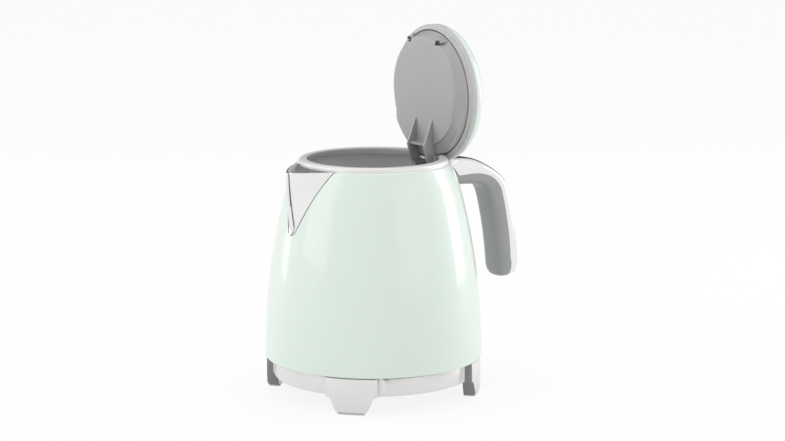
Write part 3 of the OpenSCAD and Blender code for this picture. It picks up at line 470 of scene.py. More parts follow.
def dressed_copy(node, finish, body, sharp, bevel=0.0):
    """A merged, smooth-shaded copy of a CAD node that stands for it."""
    bm = bmesh.new()
    bm.from_mesh(frame["nodes"][node].data)
    bmesh.ops.remove_doubles(bm, verts=bm.verts, dist=2e-6)
    bmesh.ops.dissolve_limit(bm, angle_limit=math.radians(1.0), verts=bm.verts, edges=bm.edges)
    if bevel:
        corners = [e for e in bm.edges
                   if len(e.link_faces) == 2 and e.calc_face_angle(0.0) > CORNER_ANGLE]
        bmesh.ops.bevel(bm, geom=corners, offset=bevel * MM, affect="EDGES", segments=2,
                        profile=0.5, material=-1, clamp_overlap=True)
    return new_piece(node + "_skin", bm, [finish], body, [node], sharp)


# ---------------------------------------------------------------- body

def wall_r(z):
    """Outer radius of the body's wall at a height, in millimetres."""
    s = sizes()
    long_r, short_r = s.wall_curve / MM, s.shoulder_curve / MM
    start = SHELL_TOP_Z - BODY_LOW_Z - s.shoulder_height / MM
    h = z - BODY_LOW_Z
    if h < start:
        return BODY_R - long_r + math.sqrt(long_r ** 2 - h * h)
    lean = math.asin(start / long_r)
    cx = BODY_R - long_r + (long_r - short_r) * math.cos(lean)
    cz = (long_r - short_r) * math.sin(lean)
    return cx + math.sqrt(short_r ** 2 - (h - cz) ** 2)


def wall_line(z0, z1, out, steps):
    """Points up the wall from one height to another, moved out by a distance."""
    heights = [z0 + (z1 - z0) * i / steps for i in range(steps + 1)]
    return [(wall_r(z) + out, z) for z in heights]


# The V of the spout's opening: lowest point, half widths of the spout, gap beside its sheet
SPOUT_LOW_Z = 116.2
SPOUT_HALF = 24.2
SPOUT_LOW_HALF = 2.6
SPOUT_GAP = 0.7
# The hinge's notch clears the bracket, and its floor lies below the open lid's edge
NOTCH_HALF = node_span("hinge_bracket", 1)[1] + 0.3
NOTCH_GAP = 2.4
NOTCH_Z = HINGE_Z + HINGE_X - LID_R - NOTCH_GAP
# Slot of the power lever: inner end, half width, lowest and highest point
LEVER_SLOT_X, LEVER_SLOT_HALF, LEVER_SLOT_Z = 66, 6, (29.5, 42.5)
# Depth of the sheet's fold under the rim ring
FOLD = 0.8


def spout_half(z):
    """Half the width of the spout at a height."""
    rise = (z - SPOUT_LOW_Z) / (SHELL_TOP_Z - FOLD - SPOUT_LOW_Z)
    return SPOUT_LOW_HALF + (SPOUT_HALF - SPOUT_LOW_HALF) * rise


def spout_opening(top):
    """Prism of the V that the spout's opening cuts out of the shell, up to a height."""
    low = SPOUT_LOW_Z + 1.6
    edge = [(spout_half(top) + SPOUT_GAP, top), (spout_half(low) + SPOUT_GAP + 0.2, low),
            (2.3, SPOUT_LOW_Z + 0.4), (1.2, SPOUT_LOW_Z)]
    edge += [(-y, z) for y, z in reversed(edge)]
    return prism(edge, lambda y, z: (0, y, z), (-FAR, 0, 0))


class KETTLE_OT_body(bpy.types.Operator):
    """Painted steel shell with its openings for the spout, the hinge and the lever"""

    bl_idname = "kettle.body"
    bl_label = "Body shell"

    def execute(self, context):
        wall, top = sizes().wall / MM, SHELL_TOP_Z
        in_r, out_r, low = RING_OUT_R - 0.6, BODY_R + 5, SPOUT_LOW_Z + 10
        outside = spun([(in_r, low), (out_r, low), (out_r, top + 2), (in_r, top + 2)])
        outside_ring = carved(spout_opening(top + 1), outside, operation="INTERSECT")
        notch = box((0, -NOTCH_HALF, NOTCH_Z), (FAR, NOTCH_HALF, HIGH))
        lever_slot = box((LEVER_SLOT_X, -LEVER_SLOT_HALF, LEVER_SLOT_Z[0]),
                         (FAR, LEVER_SLOT_HALF, LEVER_SLOT_Z[1]))
        shell = carved(spun(self.outline(wall), steps=240), spout_opening(top - FOLD / 2),
                       outside_ring, notch, lever_slot)
        for face in shell.faces:
            middle = face.calc_center_median() / MM
            inside = math.hypot(middle.x, middle.y) < wall_r(min(middle.z, top)) - wall * 0.6
            face.material_index = 1 if inside else 0
        new_piece("body_shell_skin", shell, ["gloss_paint", "vessel_steel"], "kettle",
                  ["body_shell"], 30.0)
        return {"FINISHED"}

    def outline(self, wall):
        """Section of the wall, folded in under the ring and rolled at the lower edge."""
        top, roll = SHELL_TOP_Z, sizes().lower_edge / MM
        fold_r = RING_OUT_R - sizes().ring_width / MM + 2
        outline = [(fold_r, top - FOLD), (fold_r, top), (wall_r(top) - 1.4, top),
                   (wall_r(top) - 0.5, top - 0.15)]
        outline += wall_line(BODY_LOW_Z + 1.2, top - 0.5, 0, 90)[::-1]
        outline += arc((BODY_R - roll, BODY_LOW_Z + roll), roll, 0, -90, 6)
        outline += [(BODY_R - wall - 0.1, BODY_LOW_Z)]
        outline += wall_line(BODY_LOW_Z + 1, top - 1.8, -wall, 90)
        return outline + [(wall_r(top) - wall - 0.9, top - FOLD)]


class KETTLE_OT_rim(bpy.types.Operator):
    """Bull-nosed ring round the mouth"""

    bl_idname = "kettle.rim"
    bl_label = "Rim ring"

    def execute(self, context):
        in_r, low = RING_OUT_R - sizes().ring_width / MM, SHELL_TOP_Z
        outer_round, inner_round = 2.6, 1.5
        outline = [(in_r, low - FOLD), (in_r + 1.8, low - FOLD), (in_r + 1.8, low),
                   (RING_OUT_R, low)]
        outline += arc((RING_OUT_R - outer_round, RING_TOP_Z - outer_round), outer_round, 0, 90, 10)
        outline += arc((in_r + inner_round, RING_TOP_Z - inner_round), inner_round, 90, 180, 8)
        notch = box((0, -NOTCH_HALF, low - 2), (FAR, NOTCH_HALF, HIGH))
        ring = carved(spun(outline, steps=200), notch)
        # Faces on the ring's inner side get the darker liner finish: painted shade inside the rim
        for face in ring.faces:
            middle = face.calc_center_median() / MM
            inside = math.hypot(middle.x, middle.y) < in_r + inner_round / 2
            if inside and middle.z < RING_TOP_Z - 0.2:
                face.material_index = 1
        new_piece("rim_ring_skin", ring, ["satin_steel", "satin_liner"], "kettle",
                  ["rim_ring"], 40.0)
        return {"FINISHED"}


# ---------------------------------------------------------------- spout

# Distance of the lip's tip from the middle, and thickness of the sheet
TIP_X = RING_OUT_R + 18.6
SPOUT_SHEET = 0.9
# Half the turn of the nose's bead, and the faces across a side panel and across half the bead
NOSE_BEND = 72.0
PANEL_STEPS, BEAD_STEPS = 10, 6
SPOUT_LEVELS = 28


def lip_z():
    """Height of the lip's tip."""
    return SHELL_TOP_Z - sizes().lip_drop / MM


def spout_level(z, lift):
    """Half of one level of the spout: from the wall to the middle of the nose."""
    y = spout_half(z + lift) - 0.3
    edge = Vector((math.sqrt(wall_r(min(z + lift, SHELL_TOP_Z)) ** 2 - y * y) - 0.3, y))
    below = (lip_z() - z) / (lip_z() - SPOUT_LOW_Z)
    nose = max(edge.x + 1.6, TIP_X - 3.7 * below ** 2)
    radius = min(sizes().nose_radius / MM + 0.7 * below, 0.62 * y)
    bead = [Vector(p) for p in arc((nose - radius, 0), radius, NOSE_BEND, 0, BEAD_STEPS)]
    run = bead[0] - edge
    side = Vector((-run.y, run.x)).normalized()
    bulge = (0.060 * (1 - below) ** 4 - 0.012 * below) * run.length
    crease = min(0.5 + 0.9 * below, 0.3 * run.length) / run.length
    places = [(1 - crease) * i / PANEL_STEPS for i in range(PANEL_STEPS + 1)]
    panel = [edge + run * u + side * bulge * 4 * u * (1 - u) for u in places]
    return panel + bead


class KETTLE_OT_spout(bpy.types.Operator):
    """Folded sheet spout with a beaded nose"""

    bl_idname = "kettle.spout"
    bl_label = "Spout"

    def execute(self, context):
        levels = self.levels()
        spout = skin(levels, solid=False)
        # Faces in the crease get the darker shaded steel: painted shade
        for face in spout.faces:
            if self.on_crease(face, levels):
                face.material_index = 2
        if sum(f.normal.x * f.calc_area() for f in spout.faces) > 0:
            bmesh.ops.reverse_faces(spout, faces=spout.faces)
        piece = new_piece("spout_skin", spout, ["polished_steel", "vessel_steel", "shaded_steel"],
                          "kettle", ["spout"], 25.0)
        sheet = piece.modifiers.new("sheet", "SOLIDIFY")
        sheet.thickness = SPOUT_SHEET * MM
        sheet.offset = -1
        sheet.material_offset = 1
        sheet.material_offset_rim = 0
        soften(piece, 0.2, 50)
        return {"FINISHED"}

    def levels(self):
        """Levels from the V's point to the lip, which rises from the tip to the rim."""
        foot, top = SPOUT_LOW_Z + 0.3, lip_z()
        reach = TIP_X - RING_OUT_R + 2
        levels = []
        for k in range(SPOUT_LEVELS + 1):
            t = k / SPOUT_LEVELS
            z = foot + (top - foot) * t
            lift = (SHELL_TOP_Z + 0.1 - top) * t * t
            half = spout_level(z, lift)
            points = half + [Vector((p.x, -p.y)) for p in half[-2::-1]]
            levels.append([(-p.x, p.y, z + lift * (max(0, TIP_X - p.x - 1) / reach) ** 0.7)
                           for p in points])
        return levels

    def on_crease(self, face, levels):
        """Whether a face lies in the crease between a side panel and the bead."""
        height = face.calc_center_median().z / MM
        level = min(levels, key=lambda row: abs(row[0][2] - height))
        panel_end, bead_start = [abs(p[1]) for p in level[PANEL_STEPS:PANEL_STEPS + 2]]
        across = sum(abs(v.co.y) / MM for v in face.verts) / len(face.verts)
        return bead_start - 0.1 < across < panel_end + 0.1


# ---------------------------------------------------------------- lid

# Heights with the lid closed: the trim's lower face, the dome's lower edge, the drum's face
LID_Z = RING_TOP_Z + 0.5
DOME_Z = LID_Z + 3.0
DRUM_Z = LID_Z - 8.9
DOME_POWER = 2.3
KNOB_HOLE_R = 7.2
# The drum's face is set forward, and its flared side ends at the seam, where the seal lies
DRUM_R = LID_R - 10.3
DRUM_SHIFT = 2.4
SEAM_R = 44.1
SEAL_R = SEAM_R + 0.55
# Latch boxes with their windows, and hinge ears
LATCH_Y = 17.5
LATCH_BOX_HALF = 3.9
WINDOW_HALF = 2.4
WINDOW_X, WINDOW_TOP = (-DRUM_R + 0.2, -DRUM_R + 3.6), DRUM_Z + 2.2
EAR_Y, EAR_T = 9.25, 1.7
# Lines of the liner's side: (past the face's edge, share of the way to the seam, depth)
FLARE = [(-2.8, 0, 0.0), (-1.8, 0, 0.10), (-0.9, 0, 0.45), (-0.2, 0, 1.2), (0, 0.08, 2.2),
         (0, 0.24, 3.6), (0, 0.46, 4.9), (0, 0.72, 5.9), (0, 0.92, 6.7), (0, 1.0, 8.4)]
SHELF = [(-2.8, 0, 0.0), (-1.4, 0, 0.0), (-0.3, 0, 0.0), (0.0, 0, 0.8), (0, 0.25, 1.2),
         (0, 0.55, 1.6), (0, 0.80, 2.0), (0, 0.96, 2.5), (0, 1.0, 4.4), (0, 1.0, 8.4)]
# The side is a shelf within this angle of the hinge, and turns into a flare over the next
SHELF_TURN, SHELF_FADE = 58, 24
# Fixed ends of the springs, with the lid closed
BUTTON_SPRING_FOOT = (0, 0, DRUM_Z + 2.2)
LATCH_SPRING_END = (24, 0, DRUM_Z + 6.2)


class KETTLE_OT_lid(bpy.types.Operator):
    """Painted dome, trim ring and seal of the lid"""

    bl_idname = "kettle.lid"
    bl_label = "Lid"

    def execute(self, context):
        height = sizes().dome_height / MM
        dome = self.dome(DOME_R, height) + self.dome(DOME_R - 1, height - 1)[::-1]
        self.lid_ring("lid_cover", dome, "gloss_paint", "paint")
        self.lid_ring("lid_trim", self.trim(), "satin_trim", "silver_plastic")
        in_r, low, top = SEAM_R - 0.05, LID_Z - 0.5, LID_Z + 1.2
        seal = [(in_r, low), (SEAL_R, low), (SEAL_R, top), (in_r, top)]
        self.lid_ring("lid_seal", seal, "soft_rubber", "rubber")
        return {"FINISHED"}

    def lid_ring(self, node, outline, finish, slot):
        """One round piece of the lid, placed where the lid stands open."""
        ring = on_open_lid(spun(outline, 200))
        new_piece(node + "_skin", ring, [finish], "lid", [node], 40.0)

    def dome(self, radius, tall):
        """Quarter of a superellipse that ends at the knob's hole."""
        power = 2 / DOME_POWER
        last = math.acos((KNOB_HOLE_R / radius) ** (DOME_POWER / 2))
        turn = [last * i / 28 for i in range(29)]
        return [(radius * math.cos(a) ** power, DOME_Z + tall * math.sin(a) ** power) for a in turn]

    def trim(self):
        """Ring under the dome: a short lip inside, then a flat with a round outer edge."""
        ring = [(SEAL_R, LID_Z - 0.6), (SEAL_R + 0.05, LID_Z - 1.3), (SEAL_R + 0.25, LID_Z - 1.6),
                (SEAL_R + 0.5, LID_Z - 1.5), (SEAL_R + 0.68, LID_Z - 1.0), (SEAL_R + 0.8, LID_Z - 0.4),
                (SEAL_R + 1.1, LID_Z - 0.08), (SEAL_R + 1.7, LID_Z), (DOME_R - 0.6, LID_Z)]
        ring += arc((DOME_R - 0.6, LID_Z + 0.6), 0.6, -75, 0, 5)
        return ring + [(DOME_R, DOME_Z - 0.12), (DOME_R - 0.12, DOME_Z), (SEAL_R, DOME_Z)]


class KETTLE_OT_liner(bpy.types.Operator):
    """Underside of the lid: drum with a flared side, latch boxes, hinge ears and latch"""

    bl_idname = "kettle.liner"
    bl_label = "Lid liner"

    def execute(self, context):
        boxes = [self.latch_box(side * LATCH_Y) for side in (-1, 1)]
        drum = carved(self.drum(), *boxes, operation="UNION")
        windows = [box((WINDOW_X[0], side * LATCH_Y - WINDOW_HALF, DRUM_Z - 1),
                       (WINDOW_X[1], side * LATCH_Y + WINDOW_HALF, WINDOW_TOP)) for side in (-1, 1)]
        drum = carved(drum, *windows)
        # Walls of the latch windows get dark plastic: painted shade in the window pockets
        for face in drum.faces:
            x, y, z = face.calc_center_median() / MM
            if (WINDOW_X[0] - 0.05 < x < WINDOW_X[1] + 0.05
                    and abs(abs(y) - LATCH_Y) < WINDOW_HALF + 0.05
                    and DRUM_Z + 0.2 < z < WINDOW_TOP + 0.1):
                face.material_index = 1
        new_piece("lid_liner_skin", on_open_lid(drum), ["satin_liner", "dark_plastic"], "lid",
                  ["lid_liner"], 30.0)
        ears = [prism(self.ear_outline(), lambda x, z, y=y: (x, y, z), (0, EAR_T, 0))
                for y in (-EAR_Y - EAR_T, EAR_Y)]
        web = box((HINGE_X - 12.2, -10, LID_Z - 14.3), (HINGE_X - 10.4, 10, LID_Z))
        ears = carved(web, *ears, operation="UNION")
        piece = new_piece("lid_ears_skin", on_open_lid(ears), ["satin_liner"], "lid",
                          ["lid_liner"], 30.0)
        soften(piece, 0.3, 40)
        self.latch_slider()
        return {"FINISHED"}

    def drum(self):
        """Shell whose face is a circle set forward of the lid's middle."""
        count = 144
        turns = [math.tau * k / count for k in range(count)]
        face = [-DRUM_SHIFT * math.cos(a) + math.sqrt(DRUM_R ** 2 - (DRUM_SHIFT * math.sin(a)) ** 2)
                for a in turns]
        from_hinge = [min(math.degrees(a), 360 - math.degrees(a)) for a in turns]
        fade = [1 - min(1, max(0, (v - SHELF_TURN) / SHELF_FADE)) for v in from_hinge]
        shelf = [v * v * (3 - 2 * v) for v in fade]

        def ring(radii, heights):
            return [(r * math.cos(a), r * math.sin(a), z) for r, a, z in zip(radii, turns, heights)]

        levels = [ring([r * share for r in face], [DRUM_Z] * count) for share in (0.4, 0.8, 0.9)]
        for plain, step in zip(FLARE, SHELF):
            radii, heights = [], []
            for r, w in zip(face, shelf):
                past, share, depth = [p + (q - p) * w for p, q in zip(plain, step)]
                radii.append(r + past + share * (SEAM_R - r))
                heights.append(DRUM_Z + depth)
            levels.append(ring(radii, heights))
        inner = [r - 2.4 for r in face]
        top = [LID_Z + 1.3] * count
        levels.append(ring([SEAM_R] * count, top))
        levels.append(ring([r + 1.2 for r in inner], top))
        levels.append(ring(inner, [DRUM_Z + 3.0] * count))
        levels.append(ring([r - 1 for r in inner], [DRUM_Z + 1.5] * count))
        return skin(levels)

    def latch_box(self, y):
        """Rounded box over a latch tongue, kept inside the seam."""
        bm = box((-SEAM_R, y - LATCH_BOX_HALF, DRUM_Z + 0.8), (-DRUM_R + 2, y + LATCH_BOX_HALF, LID_Z))
        bmesh.ops.bevel(bm, geom=bm.edges, offset=0.7 * MM, affect="EDGES", segments=3,
                        profile=0.5, material=-1)
        room = spun([(0, DRUM_Z), (SEAM_R - 0.5, DRUM_Z), (SEAM_R - 0.2, LID_Z + 1), (0, LID_Z + 1)])
        return carved(bm, room, operation="INTERSECT")

    def ear_outline(self):
        outline = [(HINGE_X - 30.5, DRUM_Z + 0.5), (HINGE_X - 12.2, LID_Z - 15.8),
                   (HINGE_X - 10.6, LID_Z - 16.2), (HINGE_X + 1, LID_Z - 13.4),
                   (HINGE_X + 4.2, HINGE_Z - 3.4)]
        outline += arc((HINGE_X, HINGE_Z), 5.1, -10, 90, 12)
        return outline + [(HINGE_X - 2.2, LID_Z - 0.3), (HINGE_X - 3, LID_Z + 0.2),
                          (HINGE_X - 12, LID_Z + 0.2), (HINGE_X - 13.5, DRUM_Z + 1.2)]

    def latch_slider(self):
        """Latch slider with its tongues cut back into their boxes."""
        bm = bmesh.new()
        bm.from_mesh(frame["nodes"]["latch_slider"].data)
        bmesh.ops.remove_doubles(bm, verts=bm.verts, dist=2e-6)
        reach, low, top = SEAM_R - 1.6, DRUM_Z - 1, LID_Z + 9
        room = on_open_lid(spun([(0, low), (reach, low), (reach, top), (0, top)]))
        new_piece("latch_slider_skin", carved(bm, room, operation="INTERSECT"), ["dark_plastic"],
                  "latch", ["latch_slider"], 30.0)


class KETTLE_OT_button(bpy.types.Operator):
    """Ball knob of the lid's button"""

    bl_idname = "kettle.button"
    bl_label = "Lid button"

    def execute(self, context):
        dressed_copy("lid_button", "polished_steel", "button", sharp=40.0)
        return {"FINISHED"}


class KETTLE_OT_springs(bpy.types.Operator):
    """Coils of the lid's button and latch, as smooth copies of their CAD nodes"""

    bl_idname = "kettle.springs"
    bl_label = "Springs"

    def execute(self, context):
        turned = lid_turn()
        for node, joint, fixed, axis in (
                ("button_spring", "lid_button", BUTTON_SPRING_FOOT, (0, 0, 1)),
                ("latch_spring", "latch_slide", LATCH_SPRING_END, (1, 0, 0))):
            coil = dressed_copy(node, "brushed_steel", "lid", sharp=50.0)
            along = (turned.to_3x3() @ Vector(axis)).normalized()
            reach = [v.co.dot(along) for v in coil.data.vertices]
            length = max(reach) - min(reach)
            travel = JOINTS[joint]["range_m"][1]
            1 - travel / length
            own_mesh(coil)
        return {"FINISHED"}


# ---------------------------------------------------------------- handle

# Bezier stretches of the handle's outer and inner line, from the wall at the rim's height
OUTER = [[(-24.2, -10.4), (-13.2, -3.4), (3.8, -3.8), (16.8, -12.4)],
         [(16.8, -12.4), (25.4, -17.3), (32.6, -22.2), (35.1, -31.4)],
         [(35.1, -31.4), (37.9, -41.5), (44.3, -64), (44.4, -85)]]
INNER = [[(-24.2, -24.4), (-14.2, -24.6), (-3.2, -24.8), (6, -25.8)],
         [(6, -25.8), (11.6, -26.3), (14.1, -28.5), (16, -33.5)],
         [(16, -33.5), (19.5, -44.5), (24, -66), (25.6, -85)]]
# Stations along each stretch
STEPS = (18, 14, 18)
# Depth of the cover at places along the handle, as shares of its depth at the grip's end
COVER_LINE = [(0.0, 0.92), (0.07, 1.07), (0.15, 1.21), (0.185, 1.19), (0.22, 1.12), (0.26, 1.01),
              (0.33, 0.79), (0.37, 0.735), (0.41, 0.725), (0.48, 0.765), (0.56, 0.825),
              (0.63, 0.87), (0.74, 0.885), (0.82, 0.94), (0.93, 0.99), (1.0, 1.0)]
COVER_T = 1.2
COVER_GAP = 0.3
COVER_POWER, GRIP_POWER = 3, 3.2
COVER_END_Z = RING_TOP_Z - 93.2
COVER_STEPS, GRIP_TOP_STEPS, GRIP_STEPS = 32, 20, 28
# Slanted front end of the cover, from the wall near the rim
FRONT_LINE = [(0.4, 2), (1.0, -4.5), (5.0, -10.4), (9.3, -17), (10.2, -18.6), (10.2, -30)]
# Gaps between the wall and the grip, and between the grip's collar and the cover's front
WALL_GAP, FRONT_GAP = 1.5, 0.3
COLLAR_STATIONS, COLLAR_DEPTH = 16, 6
# Half the width of the tools that cut the handle
TOOL_HALF = 20
# The lower end rounds in: degrees a step, then how far it draws in and drops at both lines
END_STEP, END_IN, END_DROP_OUTER, END_DROP_INNER = 8.5, 4.5, 10, 10.8


def bezier(points, t):
    a, b, c, d = [Vector(p) for p in points]
    return (1 - t) ** 3 * a + 3 * t * (1 - t) ** 2 * b + 3 * t * t * (1 - t) * c + t ** 3 * d


def cover_depth(f):
    """Depth of the cover along the handle: deep at the arm, thin round the bend."""
    scale = sizes().cover_depth / MM
    for (f0, d0), (f1, d1) in zip(COVER_LINE, COVER_LINE[1:]):
        if f <= f1:
            return scale * (d0 + (d1 - d0) * (f - f0) / (f1 - f0))
    return scale


def handle_stations():
    """Outer point, inner point, half width and cover depth along the handle."""
    s = sizes()
    origin = Vector((BODY_R, RING_TOP_Z))
    half, grip = s.handle_width / MM / 2, s.cover_depth / MM
    run = []
    for k, steps in enumerate(STEPS):
        for i in range(steps):
            t = i / steps
            run.append((origin + bezier(OUTER[k], t), origin + bezier(INNER[k], t), half,
                        cover_depth((k + t) / 3)))
    outer_end, inner_end = origin + Vector(OUTER[2][3]), origin + Vector(INNER[2][3])
    for k in range(11):
        a = math.radians(END_STEP * k)
        drop = 1 - math.cos(a)
        outer = outer_end + Vector((-END_IN * drop, -END_DROP_OUTER * math.sin(a)))
        inner = inner_end + Vector((END_IN * drop, -END_DROP_INNER * math.sin(a)))
        depth = min(grip, 0.48 * (outer - inner).length)
        run.append((outer, inner, half * (1 - 0.5 * drop), depth))
    return run


def round_end(half, depth, power, count):
    """Upper half of a superellipse, from side to side."""
    def grow(v):
        return math.copysign(abs(v) ** (2 / power), v) if abs(v) > 1e-9 else 0.0

    turn = [math.pi * i / count for i in range(count + 1)]
    return [(half * grow(math.cos(a)), depth * grow(math.sin(a))) for a in turn]


def grip_section(half, inset, cover, depth):
    """Section of the grip: under the cover by the inset, and round on the hand's side."""
    upper = round_end(half - inset, cover - inset, COVER_POWER, GRIP_TOP_STEPS)
    return upper + [(y, -d) for y, d in round_end(half, depth, GRIP_POWER, GRIP_STEPS)][::-1]


def cover_section(half, depth):
    """Section of the cover: an open channel of sheet."""
    outside = round_end(half, depth, COVER_POWER, COVER_STEPS)
    return outside + round_end(half - COVER_T, depth - COVER_T, COVER_POWER, COVER_STEPS)[::-1]


def station_points(station, outline):
    """Puts a section on a station, measured from the seam between the cover and the grip."""
    outer, inner, _, depth = station
    up = (outer - inner).normalized()
    seam = outer - up * depth
    return [(seam.x + up.x * d, y, seam.y + up.y * d) for y, d in outline]


def body_room():
    """The body's upper part with the grip's gap round it."""
    low, top = SHELL_TOP_Z - 52, SHELL_TOP_Z + 2
    return spun([(0, low)] + wall_line(low, top, WALL_GAP, 40) + [(0, top)], 160)


def front_room(out):
    """Room in front of the cover's slanted end, moved out from the wall."""
    x, z = wall_r(RING_TOP_Z - 6) + out, RING_TOP_Z
    line = [(x + a, z + b) for a, b in FRONT_LINE]
    outline = [(0, line[0][1]), *line, (0, line[-1][1])]
    return prism(outline, lambda a, b: (a, -TOOL_HALF, b), (0, 2 * TOOL_HALF, 0))


class KETTLE_OT_handle(bpy.types.Operator):
    """Grip and polished cover of the handle"""

    bl_idname = "kettle.handle"
    bl_label = "Handle"

    def execute(self, context):
        stations = handle_stations()
        grip = carved(self.grip(stations), self.collar(stations), operation="UNION")
        new_piece("handle_grip_skin", grip, ["satin_grip_plastic"], "kettle",
                  ["handle_grip"], 38.0)
        piece = new_piece("handle_cover_skin", self.cover(stations), ["polished_steel"], "kettle",
                          ["handle_cover"], 38.0)
        soften(piece, 0.25, 60)
        return {"FINISHED"}

    def grip(self, stations):
        """Grip along the whole handle, under the cover and outside the wall."""
        levels = []
        for station in stations:
            outer, inner, half, cover = station
            depth = (outer - inner).length - cover
            levels.append(station_points(station, grip_section(half, COVER_T + COVER_GAP, cover, depth)))
        return carved(skin(levels), body_room())

    def collar(self, stations):
        """Full-width end of the grip between the wall and the cover's front."""
        levels = []
        for station in stations[:COLLAR_STATIONS]:
            half, cover = station[2:]
            upper = round_end(half - 0.25, cover - 0.25, COVER_POWER, GRIP_TOP_STEPS)
            lower = round_end(half - 0.05, COLLAR_DEPTH, GRIP_POWER, GRIP_STEPS)
            levels.append(station_points(station, upper + [(y, -d) for y, d in lower][::-1]))
        collar = carved(skin(levels), front_room(-FRONT_GAP), operation="INTERSECT")
        return carved(collar, body_room())

    def cover(self, stations):
        """Cover cut to its slanted front and its level lower end."""
        levels = [station_points(s, cover_section(s[2], s[3])) for s in stations]
        foot = box((BODY_R, -TOOL_HALF, 0), (BODY_R + 60, TOOL_HALF, COVER_END_Z))
        return carved(skin(levels), front_room(0), foot)


# ---------------------------------------------------------------- base

# The base's outer top edge, from this radius and height, is raised towards the shell
TOP_EDGE_R, TOP_EDGE_Z, TOP_EDGE_RAISE = BODY_R - 3.2, 24.0, 0.3
# Side walls of the feet get painted shade, a darker copy of the silver, apart from those within 60
# degrees of one foot
FOOT_R, FOOT_Z, SIDEWAYS = BODY_R - 5.2, 10.0, 0.45
BRIGHT_FOOT = math.radians(-135)


class KETTLE_OT_base(bpy.types.Operator):
    """Silver power base with its four feet"""

    bl_idname = "kettle.base"
    bl_label = "Power base"

    def execute(self, context):
        housing = dressed_copy("base_housing", "satin_silver", "base", sharp=70.0,
                               bevel=0.35)
        mesh = housing.data
        mesh.materials.append(finish_named("shaded_silver"))
        for vert in mesh.vertices:
            if math.hypot(vert.co.x, vert.co.y) > TOP_EDGE_R * MM and vert.co.z > TOP_EDGE_Z * MM:
                vert.co.z += TOP_EDGE_RAISE * MM
        # Sideways faces of the feet, away from the bright foot, get the darker silver: painted shade
        for face in mesh.polygons:
            turn = math.atan2(face.center.y, face.center.x)
            across = face.normal.dot(Vector((-math.sin(turn), math.cos(turn), 0)))
            out = math.hypot(face.center.x, face.center.y)
            on_foot = out > FOOT_R * MM or face.center.z < FOOT_Z * MM
            bright = math.cos(turn - BRIGHT_FOOT) >= 0.5
            if on_foot and not bright and abs(across) > SIDEWAYS:
                face.material_index = 1
        return {"FINISHED"}


# ---------------------------------------------------------------- small pieces

SMALL_PIECES = {
    "polished_steel": ["handle_screws", "base_screws", "bottom_screws", "lever_knob"],
    "brushed_steel": ["hinge_pin", "heating_plate", "handle_bracket", "filter_mesh", "lever_pin",
                      "hinge_spring", "bimetal_disc"],
    "satin_silver": ["base_underside_cover"],
    "satin_grip_plastic": ["handle_gasket", "hinge_bracket", "filter_guide"],
    "dark_plastic": ["base_connector", "cord_gland", "connector_cup", "chassis_ring",
                     "bottom_cover", "power_lever", "lever_bezel"],
    "pale_plastic": ["control_unit", "filter_frame", "button_guide", "steam_tube", "plate_seal"],
    "grey_rubber": ["foot_pads"],
    "contact_brass": ["base_contacts", "contact_rings", "connector_pin"],
    "plain_aluminium": ["diffuser_plate", "heating_element"],
}


class KETTLE_OT_small_pieces(bpy.types.Operator):
    """Finishes of the pieces that keep their CAD shape"""

    bl_idname = "kettle.small_pieces"
    bl_label = "Small pieces"

    def execute(self, context):
        for finish, nodes in SMALL_PIECES.items():
            for node in nodes:
                slots = frame["nodes"][node].data.materials
                slots.clear()
                slots.append(finish_named(finish))
        return {"FINISHED"}


# ---------------------------------------------------------------- studio

WHITE = (1.0, 1.0, 1.0, 1.0)
FLOOR_GREY = (0.82, 0.82, 0.82, 1.0)
# Share of plain white in the floor, as the camera and metal see it
FLOOR_GLOW = 0.86
AMBIENT = 0.88
# The screen that metal sees: cosines to the camera's direction from straight behind the object
# to where white starts, then pairs of a place between them and a grey
SCREEN_RANGE = (-1.0, -0.4)
SCREEN_STOPS = [(0.0, 0.05), (0.19, 0.05), (0.29, 0.75), (0.5, 0.78), (0.8, 0.88), (1.0, 1.0)]
MIDDLE = (0.0, 0.0, 0.12)
CAMERA_AZIMUTH = math.radians(-33.0)
CAMERA_YAW = math.radians(0.512)
CAMERA_PITCH = math.radians(10.364)
CAMERA_DISTANCE, CAMERA_HEIGHT = 1.49306, 0.39322
LENS, SENSOR = 99.67185, 36.0


def beside(turn, distance, height):
    """Place beside the object, turned to the right by an angle from the camera's direction."""
    a = CAMERA_AZIMUTH + math.radians(turn)
    return (math.sin(a) * distance, -math.cos(a) * distance, height)


def area_lamp(name, place, size, power):
    """Rectangular lamp that faces the middle of the kettle."""
    data = bpy.data.lights.new(name, "AREA")
    data.shape = "RECTANGLE"
    data.size, data.size_y = size
    data.energy = power
    lamp = bpy.data.objects.new(name, data)
    lamp.location = place
    lamp.rotation_euler = (Vector(MIDDLE) - Vector(place)).to_track_quat("-Z", "Y").to_euler()
    bpy.context.scene.collection.objects.link(lamp)


